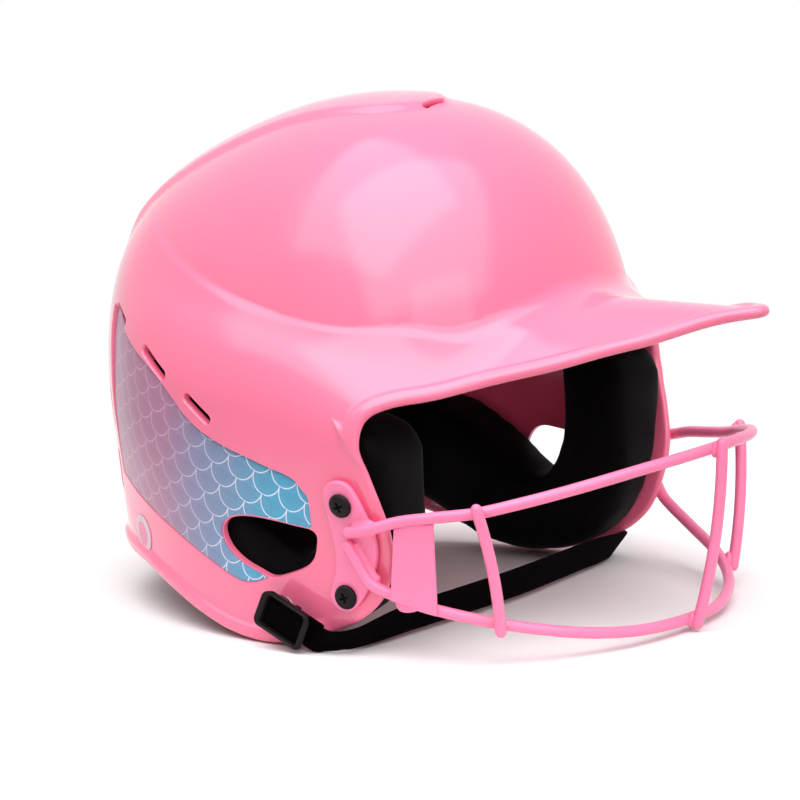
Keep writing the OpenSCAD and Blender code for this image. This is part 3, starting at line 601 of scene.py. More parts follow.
def surface_group():
    """Moulding texture: fine grain, slow waviness, worn edges and settled dust."""
    name = "Moulded surface"
    if name in bpy.data.node_groups:
        return bpy.data.node_groups[name]
    value = "NodeSocketFloat"
    tree, gin, gout = new_group(
        name, [("Grain size", value, 1800.0), ("Wave size", value, WAVE_SIZE)],
        [("Grain", value), ("Wave", value), ("Wear", value), ("Dust", value), ("Mottle", value)])
    where = node(tree, "ShaderNodeTexCoord").outputs["Object"]
    fine = node(tree, "ShaderNodeTexNoise", {"Vector": where, "Scale": gin.outputs[0], "Detail": 3.0,
                                             "Roughness": 0.6}).outputs[0]
    wave = node(tree, "ShaderNodeTexNoise", {"Vector": where, "Scale": gin.outputs[1],
                                             "Detail": 2.0}).outputs[0]
    mottle = node(tree, "ShaderNodeTexNoise", {"Vector": where, "Scale": 14.0, "Detail": 4.0}).outputs[0]
    geometry = node(tree, "ShaderNodeNewGeometry")
    edge = ramp(tree, geometry.outputs["Pointiness"], 0.515, 0.58)
    broken = ramp(tree, node(tree, "ShaderNodeTexNoise", {"Vector": where, "Scale": 260.0,
                                                          "Detail": 5.0}).outputs[0], 0.35, 0.65)
    wear = maths(tree, "MULTIPLY", edge, broken)
    up = node(tree, "ShaderNodeSeparateXYZ", {0: geometry.outputs["Normal"]}).outputs[2]
    speck = ramp(tree, node(tree, "ShaderNodeTexNoise", {"Vector": where, "Scale": 900.0,
                                                         "Detail": 2.0}).outputs[0], 0.62, 0.75)
    dust = maths(tree, "MULTIPLY", ramp(tree, up, 0.2, 0.95), speck)
    for i, socket in enumerate([fine, wave, wear, dust, mottle]):
        tree.links.new(socket, gout.inputs[i])
    return tree


def weave_group():
    """Plain weave over a vector: thread height and the shade between threads."""
    name = "Plain weave"
    if name in bpy.data.node_groups:
        return bpy.data.node_groups[name]
    value = "NodeSocketFloat"
    tree, gin, gout = new_group(
        name, [("Vector", "NodeSocketVector", None), ("Warp", value, 1200.0), ("Weft", value, 1200.0)],
        [("Height", value), ("Shade", value)])
    axes = node(tree, "ShaderNodeSeparateXYZ", {0: gin.outputs[0]})
    u = maths(tree, "MULTIPLY", axes.outputs[0], gin.outputs[1])
    v = maths(tree, "MULTIPLY", axes.outputs[1], gin.outputs[2])
    a = maths(tree, "SINE", maths(tree, "MULTIPLY", u, math.pi))
    b = maths(tree, "SINE", maths(tree, "MULTIPLY", v, math.pi))
    over = maths(tree, "MULTIPLY", a, b)
    ribs = maths(tree, "ADD", maths(tree, "ABSOLUTE", a), maths(tree, "ABSOLUTE", b))
    height = maths(tree, "ADD", maths(tree, "MULTIPLY", ribs, 0.35), maths(tree, "MULTIPLY", over, 0.3))
    tree.links.new(height, gout.inputs[0])
    tree.links.new(ramp(tree, height, 0.1, 0.7), gout.inputs[1])
    return tree


# Scale print, in millimetres along the panel and up: a corner between scales, half a scale along its row,
# the step down to the next row, and the area the two steps span
SCALE_START = [39.6, 70.2]
SCALE_ALONG = [6.05, 2.85]
SCALE_DOWN = [3.95, -6.95]
SCALE_AREA = 53.3


def scale_group():
    """Rows of overlapping scales over the film's own coordinates, in units of 100 mm."""
    name = "Scale print"
    if name in bpy.data.node_groups:
        return bpy.data.node_groups[name]
    value = "NodeSocketFloat"
    tree, gin, gout = new_group(
        name, [("Vector", "NodeSocketVector", None), ("Line", value, 0.034)],
        [("Line", value), ("Fade", value), ("Depth", value)])
    axes = node(tree, "ShaderNodeSeparateXYZ", {0: gin.outputs[0]})
    ds = maths(tree, "SUBTRACT", maths(tree, "MULTIPLY", axes.outputs[0], 100.0), SCALE_START[0])
    dz = maths(tree, "SUBTRACT", maths(tree, "MULTIPLY", axes.outputs[1], 100.0), SCALE_START[1])
    p = maths(tree, "MULTIPLY_ADD", ds, SCALE_DOWN[1] / SCALE_AREA,
              maths(tree, "MULTIPLY_ADD", dz, -SCALE_DOWN[0] / SCALE_AREA, 1.0))
    q = maths(tree, "MULTIPLY_ADD", ds, SCALE_ALONG[1] / SCALE_AREA,
              maths(tree, "MULTIPLY", dz, -SCALE_ALONG[0] / SCALE_AREA))
    row = maths(tree, "FLOOR", q)
    v = maths(tree, "SUBTRACT", q, row)
    shifted = maths(tree, "ADD", p, maths(tree, "ADD", row, 1.0))
    u = maths(tree, "SUBTRACT", maths(tree, "FLOORED_MODULO", shifted, 2.0), 1.0)
    radius = maths(tree, "SQRT", maths(tree, "MULTIPLY_ADD", u, u, maths(tree, "MULTIPLY", v, v)))
    off = maths(tree, "ABSOLUTE", maths(tree, "SUBTRACT", radius, 1.0))
    core = maths(tree, "MULTIPLY", gin.outputs[1], 0.6)
    edge = maths(tree, "MULTIPLY", gin.outputs[1], 1.5)
    line = ramp(tree, off, core, edge, 1.0, 0.0)
    fade = maths(tree, "MULTIPLY_ADD", axes.outputs[0], 100.0,
                 maths(tree, "MULTIPLY", axes.outputs[1], 35.0))
    depth = ramp(tree, radius, 0.0, 1.0)
    for i, socket in enumerate([line, fade, depth]):
        tree.links.new(socket, gout.inputs[i])
    return tree


def surface(name, colour, roughness, coat=0.0, bump=0.1, grain=1800.0, metallic=0.0, wear=0.15,
            wave_bump=0.0, dark=0.9, coat_rough=0.1, specular=0.5):
    """Moulded, painted or metal finish with grain, mottling, edge wear and dust."""
    if name in bpy.data.materials:
        return bpy.data.materials[name]
    mat, tree = blank(name)
    base = linear(colour)
    group = node(tree, "ShaderNodeGroup", {}, node_tree=surface_group())
    group.inputs[0].default_value = grain
    group.inputs[1].default_value = WAVE_SIZE
    tint = mixed(tree, ramp(tree, group.outputs["Mottle"], 0.3, 0.7), toned(base, dark), base)
    tint = mixed(tree, maths(tree, "MULTIPLY", group.outputs["Wear"], wear), tint, toned(base, 1.05, 0.004))
    tint = mixed(tree, maths(tree, "MULTIPLY", group.outputs["Dust"], 0.02), tint, toned(base, 0.6, 0.25))
    rough = maths(tree, "MULTIPLY_ADD", group.outputs["Grain"], 0.08, roughness - 0.04)
    rough = maths(tree, "MULTIPLY_ADD", group.outputs["Wear"], 0.12 * wear, rough)
    height = maths(tree, "MULTIPLY_ADD", group.outputs["Wave"], wave_bump, group.outputs["Grain"])
    normal = node(tree, "ShaderNodeBump", {"Strength": bump, "Distance": GRAIN_HEIGHT,
                                           "Height": height}).outputs[0]
    shader = node(tree, "ShaderNodeBsdfPrincipled", {
        "Base Color": tint, "Roughness": rough, "Metallic": metallic, "Coat Weight": coat,
        "Coat Roughness": coat_rough, "Specular IOR Level": specular, "Normal": normal})
    tree.links.new(shader.outputs[0], node(tree, "ShaderNodeOutputMaterial").inputs[0])
    return mat


def woven(name, colour, warp, weft, uv=None, roughness=0.8, sheen=0.3, bump=0.5, specular=0.03):
    """Woven cloth or webbing."""
    if name in bpy.data.materials:
        return bpy.data.materials[name]
    mat, tree = blank(name)
    base = linear(colour)
    if uv:
        where = node(tree, "ShaderNodeUVMap", uv_map=uv).outputs[0]
    else:
        at = node(tree, "ShaderNodeSeparateXYZ", {0: node(tree, "ShaderNodeTexCoord").outputs["Object"]})
        where = node(tree, "ShaderNodeCombineXYZ", {
            0: maths(tree, "ADD", at.outputs[0], at.outputs[1]), 1: at.outputs[2]}).outputs[0]
    weave = node(tree, "ShaderNodeGroup", {}, node_tree=weave_group())
    tree.links.new(where, weave.inputs[0])
    weave.inputs[1].default_value = warp
    weave.inputs[2].default_value = weft
    group = node(tree, "ShaderNodeGroup", {}, node_tree=surface_group())
    tint = mixed(tree, weave.outputs["Shade"], toned(base, 0.45), base)
    faded = maths(tree, "MULTIPLY", ramp(tree, group.outputs["Mottle"], 0.4, 0.7), 0.4)
    tint = mixed(tree, faded, tint, toned(base, 1.6, 0.001))
    height = maths(tree, "MULTIPLY_ADD", group.outputs["Grain"], 0.3, weave.outputs["Height"])
    normal = node(tree, "ShaderNodeBump", {"Strength": bump, "Distance": 2 * GRAIN_HEIGHT,
                                           "Height": height}).outputs[0]
    rough = maths(tree, "MULTIPLY_ADD", group.outputs["Grain"], 0.1, roughness - 0.05)
    shader = node(tree, "ShaderNodeBsdfPrincipled", {
        "Base Color": tint, "Roughness": rough, "Sheen Weight": sheen, "Sheen Roughness": 0.5,
        "Specular IOR Level": specular, "Normal": normal})
    tree.links.new(shader.outputs[0], node(tree, "ShaderNodeOutputMaterial").inputs[0])
    return mat


def film(name, c):
    """Printed film of the side panels: scales over a soft fade between three colours."""
    if name in bpy.data.materials:
        return bpy.data.materials[name]
    mat, tree = blank(name)
    where = node(tree, "ShaderNodeUVMap", uv_map="panel").outputs[0]
    scales = node(tree, "ShaderNodeGroup", {}, node_tree=scale_group())
    tree.links.new(where, scales.inputs[0])
    group = node(tree, "ShaderNodeGroup", {}, node_tree=surface_group())
    fade = scales.outputs["Fade"]
    tint = mixed(tree, ramp(tree, fade, 40, 80), linear(c["film_front"]), linear(c["film_middle"]))
    tint = mixed(tree, ramp(tree, fade, 74, 120), tint, linear(c["film_back"]))
    shade = maths(tree, "MULTIPLY", maths(tree, "SUBTRACT", 1.0, scales.outputs["Depth"]), 0.16)
    tint = mixed(tree, shade, tint, (0.08, 0.09, 0.16, 1.0))
    speck = ramp(tree, group.outputs["Grain"], 0.45, 0.75)
    tint = mixed(tree, maths(tree, "MULTIPLY", speck, 0.08), tint, (0.9, 0.85, 0.9, 1.0))
    strength = ramp(tree, fade, 45, 112, 0.9, 0.25)
    line = maths(tree, "MULTIPLY", scales.outputs["Line"], strength)
    tint = mixed(tree, line, tint, linear(c["film_line"]))
    height = maths(tree, "ADD", scales.outputs["Line"], group.outputs["Grain"])
    normal = node(tree, "ShaderNodeBump", {"Strength": 0.25, "Distance": GRAIN_HEIGHT,
                                           "Height": height}).outputs[0]
    shader = node(tree, "ShaderNodeBsdfPrincipled", {
        "Base Color": tint, "Roughness": maths(tree, "MULTIPLY_ADD", group.outputs["Grain"], 0.1, 0.3),
        "Coat Weight": 0.3, "Coat Roughness": 0.15, "Specular IOR Level": 0.3, "Normal": normal})
    tree.links.new(shader.outputs[0], node(tree, "ShaderNodeOutputMaterial").inputs[0])
    return mat


def painted(obj, *materials):
    obj.data.materials.clear()
    for m in materials:
        obj.data.materials.append(m)
    return obj


# Settings
def length(name, text, mm, low, high):
    return FloatProperty(name=name, description=text, default=mm / 1000, min=low / 1000, max=high / 1000,
                         subtype="DISTANCE", unit="LENGTH", precision=4)


def colour(name, text, values):
    return FloatVectorProperty(name=name, description=text, default=[v / 255 for v in values], min=0, max=1,
                               size=3, subtype="COLOR_GAMMA")


class HelmetSizes(bpy.types.PropertyGroup):
    skirt_half: length("Skirt half width", "Half width of the skirt over the ears", 112, 110, 114)
    dome_half: length("Dome half width", "Half width of the dome above the skirt", 101, 98, 103)
    dome_high: length("Dome height", "Height of the dome above the widest line", 128, 124, 132)
    dome_back: length("Dome back", "Reach of the dome from its centre to the back", 135.5, 132, 138)
    wall: length("Wall", "Thickness of the shell wall", 3.2, 2.4, 4)
    bead: length("Rolled edge", "How far the rolled edge stands proud", 1.9, 0.6, 2.2)
    band_rise: length("Band rise", "Rise of the centre band over the dome", 2.2, 0, 3)
    panel_deep: length("Panel depth", "Depth of the decal panel under the skirt", 2, 1, 2.4)
    decal_t: length("Film", "Thickness of the decal film", 0.5, 0.3, 0.8)
    wire_d: length("Wire", "Diameter of the guard wire", 4.8, 4, 6)
    plate_t: length("Plate", "Thickness of the mounting plates", 3, 2, 4)
    plate_gap: length("Plate gap", "Clearance between plates and shell", 0.3, 0.2, 0.5)
    blade_t: length("Blade", "Thickness of the flat side blade", 1.6, 1.2, 2.5)
    head_d: length("Screw head", "Diameter of the screw heads", 9.8, 8, 12)
    web_w: length("Webbing width", "Width of the chin strap", 13, 10, 14)
    web_t: length("Webbing thickness", "Thickness of the chin strap", 1.2, 1, 1.6)
    buckle_l: length("Buckle", "Length of the slide buckle", 25.5, 24, 28)
    snap_d: length("Snap", "Diameter of the snap button", 13, 11, 14)


class HelmetColours(bpy.types.PropertyGroup):
    shell: colour("Shell", "Moulded shell", (243, 110, 146))
    # Inner face: the shell's pink darkened to paint the shade that falls inside the shell
    inside: colour("Inside", "Inner face of the shell", (46, 3, 11))
    guard: colour("Guard", "Painted wires and plates", (246, 124, 167))
    film_front: colour("Film front", "Film at the front end", (62, 158, 194))
    film_middle: colour("Film middle", "Film over the ear", (118, 136, 171))
    film_back: colour("Film back", "Film at the back end", (172, 108, 142))
    film_line: colour("Film line", "Outlines of the scales", (232, 226, 240))
    label: colour("Label", "Ring of the round label", (216, 200, 210))
    label_middle: colour("Label middle", "Middle of the round label", (232, 140, 172))
    pad: colour("Pads", "Liner pads", (6, 4, 5))
    web: colour("Webbing", "Chin strap", (6, 3, 5))
    buckle: colour("Buckle", "Slide buckle and snaps", (20, 15, 17))
    screw: colour("Screws", "Screw heads", (26, 20, 23))
    steel: colour("Steel", "Studs and nuts", (190, 188, 186))


def sizes():
    group = bpy.context.scene.helmet_sizes
    return {key: getattr(group, key) * 1000 for key in HelmetSizes.__annotations__}


def colours():
    group = bpy.context.scene.helmet_colours
    return {key: [v * 255 for v in getattr(group, key)] for key in HelmetColours.__annotations__}


def shell_paint():
    c = colours()
    return surface("shell_gloss", c["shell"], 0.5, coat=1.0, bump=0.06, wave_bump=3.0, dark=0.98,
                   coat_rough=0.07, specular=0.3)


def guard_paint():
    return surface("guard_paint", colours()["guard"], 0.5, coat=0.5, bump=0.3, grain=1100.0, dark=0.97,
                   coat_rough=0.22, specular=0.3)


# Shell
def rim_directions(m):
    half = np.array(RIM_HALF, float)
    ring = unit(np.vstack([half, half[1:-1][::-1] * [-1, 1, 1]]) - CENTRE)
    return unit(curve(ring, m, closed=True))


def shell_grid(skin, z):
    """Shell as one closed skin: dome, rolled edge and inner face."""
    rim = rim_directions(10)
    n = len(rim)
    w = np.arccos(rim @ CROWN_DIR)

    def towards(v):
        a = np.sin((1 - v) * w)[:, None] * CROWN_DIR + np.sin(v * w)[:, None] * rim
        return unit(a)

    ends = skin.at(rim)
    step_in = (ends - skin.at(towards(np.full(n, 0.985)))) / 0.015
    along = unit(np.roll(ends, -1, 0) - np.roll(ends, 1, 0))
    rate = np.linalg.norm(step_in - np.sum(step_in * along, 1)[:, None] * along, axis=1)
    for _ in range(6):
        rate = (np.roll(rate, 1) + rate + np.roll(rate, -1)) / 3
    # The rolled edge all but runs out along the upright sides of the face opening
    lip = z["bead"] * (1 - 0.85 * step((-28 - ends[:, 1]) / 6) * step((84 - ends[:, 2]) / 8))
    round_r = (z["wall"] + lip) / 2
    rows = []

    def row(s, h):
        v = np.clip(1 - s / rate, 0.02, 1)
        d = towards(v)
        near = towards(np.minimum(v, 0.996))
        rows.append(skin.at(d) + np.asarray(h)[:, None] * skin.normal(near))

    def plain(v, h):
        d = towards(v)
        rows.append(skin.at(d) + h * skin.normal(d))

    far = 12.5
    v_far = 1 - far / rate
    for k in range(1, 96):
        plain(v_far * k / 95, 0.0)
    # Outer skin near the rim, the rolled edge, then back up the inner face
    for s in (11, 9.8, 8.8, 7.9, 7.1, 6.4, 5.7, 5.1, 4.5, 3.9, 3.3, 2.8):
        row(np.full(n, s), lip * step((8.2 - s) / 3.6))
    for a in np.radians([0, 18, 36, 54, 72, 90, 108, 126, 144, 162, 180]):
        row(round_r * (1 - np.sin(a)), lip - round_r + round_r * np.cos(a))
    for s in (3.4, 4.6, 6, 8, 10):
        row(np.full(n, s), np.full(n, -z["wall"]))
    for k in range(48, 0, -1):
        plain(v_far * k / 48, -z["wall"])
    rows = np.array(rows)
    top = skin.at(CROWN_DIR)
    down = skin.normal(CROWN_DIR)
    m = len(rows)
    points = np.vstack([rows.reshape(-1, 3), top, top - z["wall"] * down])
    faces = [(j * n + i, (j + 1) * n + i, (j + 1) * n + (i + 1) % n, j * n + (i + 1) % n)
             for j in range(m - 1) for i in range(n)]
    faces += [(m * n, i, (i + 1) % n) for i in range(n)]
    faces += [(m * n + 1, (m - 1) * n + (i + 1) % n, (m - 1) * n + i) for i in range(n)]
    return points, faces


def panel_table(skin):
    """Arc length along the panel against bearing."""
    a = np.linspace(74, 152, 200)
    p = skin.at(skin.belt(a, 65.0))
    s = lengths(p[:, :2])
    return a, s - np.interp(76, a, s)


def panel_outline(skin):
    a, s = panel_table(skin)
    t = np.linspace(78, 147, 140)
    pos = np.interp(t, a, s)
    hi = np.stack([pos, track(PANEL_HI, t)], -1)
    lo = np.stack([pos, track(PANEL_LO, t)], -1)
    return relaxed(np.vstack([lo, hi[::-1]]), 1.1, 3)


def panel_place(skin, z, side, lift):
    """Puts outline points of the panel on the shell; lift turns row heights and depth into millimetres."""
    a, s = panel_table(skin)

    def place(pts, h):
        t = np.interp(pts[:, 0], s, a)
        hi, lo = track(PANEL_HI, t), track(PANEL_LO, t)
        up = step((pts[:, 1] - lo) / (hi - lo))
        deep = PANEL_SHALLOW + (z["panel_deep"] - PANEL_SHALLOW) * up
        d = skin.belt(t, pts[:, 1])
        return (skin.at(d) + lift(h, deep)[:, None] * skin.normal(d)) * [side, 1, 1]

    return place


def over_floor(h, deep):
    """Heights counted from the panel's floor."""
    return h - deep


def from_floor_to_skin(h, deep):
    """Heights as a share of the panel's depth up to the skin, and in millimetres past it."""
    return np.where(h < 1, (h - 1) * deep, h - 1)


def side_place(skin, side):
    return lambda pts, h: skin.side(pts, h) * [side, 1, 1]


def spot_place(skin, d0, side, tilt=0.0):
    """Puts flat points round a direction on the skin."""
    n = skin.normal(d0)
    e = unit(np.cross([0, 0, 1], n))
    u = np.cross(n, e)
    a = math.radians(tilt)
    w, x = math.cos(a) * e + math.sin(a) * u, -math.sin(a) * e + math.cos(a) * u
    origin = skin.at(d0)

    def place(pts, h):
        d = unit(origin + pts[:, :1] * w + pts[:, 1:] * x - CENTRE)
        return (skin.at(d) + np.asarray(h)[:, None] * skin.normal(d)) * [side, 1, 1]

    return place


def top_place(skin):
    def place(pts, h):
        p = skin.drop(np.column_stack([pts, np.full(len(pts), 205.0)]), 2)
        return p + np.asarray(h)[:, None] * skin.normal(unit(p - CENTRE))

    return place


def capsule(long, r, m=10):
    a = np.radians(np.linspace(-90, 90, m))
    right = np.stack([long / 2 - r + r * np.cos(a), r * np.sin(a)], -1)
    return relaxed(np.vstack([right, -right]), r * 0.3, 0)


def port_outline(side):
    return relaxed(curve(PORT_LEFT if side > 0 else EAR_PORT, 8, closed=True), 1.0, 1)


# Walls of a moulded opening: how far it is grown and its height over the skin
CUT_ROWS = [(1.5, 5.0), (1.3, 0.35), (0.8, 0.02), (0.5, -0.25), (0.25, -0.7), (0.08, -1.4), (0.0, -2.4),
            (0.0, -8.0)]


def build_shell():
    z = sizes()
    skin = Skin(z)
    obj = make("helmet_shell", *shell_grid(skin, z))
    tools = []
    outline = panel_outline(skin)
    for side in (1, -1):
        rows = [(1.6, 6.0), (1.3, 1.2), (0.95, 1.0), (0.62, 0.9), (0.4, 0.72), (0.3, 0.4), (0.25, 0.0)]
        place = panel_place(skin, z, side, from_floor_to_skin)
        tools.append(make("cut_panel", *slab(outline, rows, place, 2.5)))
    for side in (1, -1):
        tools.append(make("cut_port", *slab(port_outline(side), CUT_ROWS, side_place(skin, side), 3.0)))
        for a, h, tilt, long in VENTS:
            place = spot_place(skin, skin.belt(a, h), side, tilt)
            tools.append(make("cut_vent", *slab(capsule(long, 1.7), CUT_ROWS, place, 0)))
    tools.append(make("cut_top", *slab(capsule(*TOP_SLOT) + TOP_SLOT_AT, CUT_ROWS, top_place(skin), 0)))
    cut(cleaned(obj), tools)
    smooth_shell(obj, skin, z)
    c = colours()
    # Dark tint on the inner face is painted shade; the inside is the same pink plastic as the outside
    inside = surface("shell_inside", c["inside"], 0.6, bump=0.2, dark=0.8, specular=0.05)
    painted(obj, shell_paint(), inside)
    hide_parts("shell")
    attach(obj, "helmet")
    return obj


def read(items, key, kind=float):
    """One value of every mesh item."""
    out = np.empty(len(items), kind)
    items.foreach_get(key, out)
    return out


def read_vectors(items, key):
    out = np.empty(len(items) * 3)
    items.foreach_get(key, out)
    return out.reshape(-1, 3)


def smooth_shell(obj, skin, z):
    """Exact normals on the outer skin, and the second material, darkened as painted shade, on the inner
    face.
    """
    mesh = obj.data
    sharpened(obj, 32)
    v = read_vectors(mesh.vertices, "co") * 1000 - CENTRE
    dist = np.linalg.norm(v, axis=1)
    d = v / dist[:, None]
    n = skin.normal(d)
    depth = (skin.outer(d) - dist) * np.sum(n * d, 1)
    facing = read_vectors(mesh.polygons, "normal")
    total = read(mesh.polygons, "loop_total", int)
    vertex = read(mesh.loops, "vertex_index", int)
    owner = np.repeat(np.arange(len(total)), total)
    agree = np.sum(facing[owner] * n[vertex], 1)
    on_skin = (np.abs(depth[vertex]) < 0.03) & (agree > 0.93)
    custom = np.where(on_skin[:, None], n[vertex], 0)
    mean_depth = np.bincount(owner, depth[vertex]) / total
    # Inner faces, which take the second material with its painted shade
    inner = (mean_depth > z["wall"] - 0.25) & (np.bincount(owner, agree) / total < -0.5)
    mesh.polygons.foreach_set("material_index", inner.astype(np.int32))
    mesh.normals_split_custom_set([tuple(x) for x in custom])


class HELMET_OT_shell(bpy.types.Operator):
    """Build the shell with its brim, ledge, band, rolled edge and openings"""
    bl_idname = "helmet.shell"
    bl_label = "Shell"

    def execute(self, context):
        build_shell()
        return {"FINISHED"}


class HELMET_OT_films(bpy.types.Operator):
    """Lay the printed films in the side panels and the round label at the back"""
    bl_idname = "helmet.films"
    bl_label = "Films and label"

    def execute(self, context):
        z, c = sizes(), colours()
        skin = Skin(z)
        outline = panel_outline(skin)
        a, s = panel_table(skin)
        for side, name in ((1, "decal_left"), (-1, "decal_right")):
            rows = [(0.05, 0.02), (0.05, z["decal_t"] - 0.12), (-0.1, z["decal_t"])]
            obj = make(name + "_film", *slab(outline, rows, panel_place(skin, z, side, over_floor), 2.2))
            through = [(1.0, 4.0), (1.0, -4.0)]
            port = make("cut_film", *slab(port_outline(side), through, side_place(skin, side), 3.0))
            cut(cleaned(obj), [port])
            co = np.array([v.co for v in obj.data.vertices]) * 1000 - CENTRE
            uv = np.stack([np.interp(bearing(co), a, s), co[:, 2] + CENTRE[2]], -1) / 100
            layer = obj.data.uv_layers.new(name="panel")
            for loop in obj.data.loops:
                layer.data[loop.index].uv = uv[loop.vertex_index]
            sharpened(obj, 40)
            painted(obj, film("scale_film", c))
            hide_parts(name)
            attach(obj, "helmet")
        turn = np.linspace(0, 2 * np.pi, 72, endpoint=False)
        ring = LABEL_R * np.stack([np.cos(turn), np.sin(turn)], -1)
        rows = [(0, 0.05), (0, 0.5), (-0.15, 0.6), (-0.5, 0.62), (-0.7, 0.55), (-0.9, 0.62)]
        spot = skin.belt(*LABEL_AT)
        label = make("round_label", *slab(ring, rows, spot_place(skin, spot, -1), 2.0))
        cleaned(label)
        painted(label, self.ringed(c, skin.at(spot) * [-1, 1, 1]))
        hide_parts("safety_sticker")
        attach(label, "helmet")
        return {"FINISHED"}

    def ringed(self, c, centre):
        """Label print: a pale ring round a tinted middle."""
        mat = surface("label_print", c["label"], 0.5, coat=0.1, bump=0.1, dark=0.95)
        tree = mat.node_tree
        shader = next(n for n in tree.nodes if n.type == "BSDF_PRINCIPLED")
        base = shader.inputs["Base Color"]
        at = node(tree, "ShaderNodeTexCoord").outputs["Object"]
        middle = node(tree, "ShaderNodeVectorMath", {0: at, 1: tuple(centre / 1000)}, operation="DISTANCE")
        ring = ramp(tree, middle.outputs["Value"], *LABEL_MIDDLE)
        tree.links.new(mixed(tree, ring, linear(c["label_middle"]), base.links[0].from_socket), base)
        return mat


# Guard
def guard_lines(skin, z):
    """The two wires, their ends seated on the plates."""
    wide = z["skirt_half"] / 112
    lift = z["plate_t"] + z["plate_gap"] + z["wire_d"] / 2 - SEAT

    def seated(w, k):
        out = []
        for i, p in enumerate(w):
            if i < k or i >= len(w) - k:
                q = skin.side(np.array([p[1], p[2]]), np.float64(lift))
                out.append([math.copysign(q[0], p[0]), q[1], q[2]])
            else:
                out.append([p[0] * wide, p[1], p[2]])
        return np.array(out, float)

    return seated(TOP_WIRE, 2), seated(LOW_WIRE, 3)


def bar_path(top, low, ends, z):
    """Centre line of an upright bar, its two crossing points and its outward side."""
    def outward(w, t):
        v = wire_point(w, t + 0.1) - wire_point(w, t - 0.1)
        return unit([v[1], -v[0], 0])

    n = unit(outward(top, ends[0]) + outward(low, ends[1]))
    p = wire_point(top, ends[0]) + n * (z["wire_d"] - SEAT)
    q = wire_point(low, ends[1]) + n * (z["wire_d"] - SEAT)
    w = unit(p - q)
    s = np.linspace(0, 1, 33)[:, None]
    over, under = 2.6, ends[3]
    bow = np.array([0, -1, 0]) * ends[2] * 4 * s * (1 - s)
    line = p + w * over + (q - p - w * (over + under)) * s + bow
    return line, p, q, n


def weld(centre, n, u, long=3.2, thick=1.7):
    """Weld bead in the angle between two crossing wires."""
    v = unit(np.cross(n, u))
    rings = []
    for a in np.radians(np.linspace(-80, 80, 9)):
        t = np.arange(20) * np.pi / 10
        r = long * math.cos(a) * (1 + 0.18 * np.cos(2 * t))
        round_it = np.cos(t)[:, None] * u + np.sin(t)[:, None] * v
        rings.append(centre + n * thick * math.sin(a) + r[:, None] * round_it)
    return loft(rings)


def saddle(path, normals, wire):
    """Fillet on both sides of a wire that lies on a plate."""
    t = unit(np.gradient(path, axis=0))
    side = unit(np.cross(normals, t))
    shape = [(-1.7, -0.04), (-1.35, 0.07), (-1.1, 0.3), (-0.95, 0.7), (0, 0.95), (0.95, 0.7), (1.1, 0.3),
             (1.35, 0.07), (1.7, -0.04), (0, -0.3)]
    r = wire / 2
    rings = []
    for i, (p, s, n) in enumerate(zip(path, side, normals)):
        k = min(1.0, 0.35 + 0.3 * min(i, len(path) - 1 - i))
        base = p - n * r
        rings.append([base + s * x * r * (k if abs(x) > 1 else 1) + n * h * r for x, h in shape])
    return loft(rings)


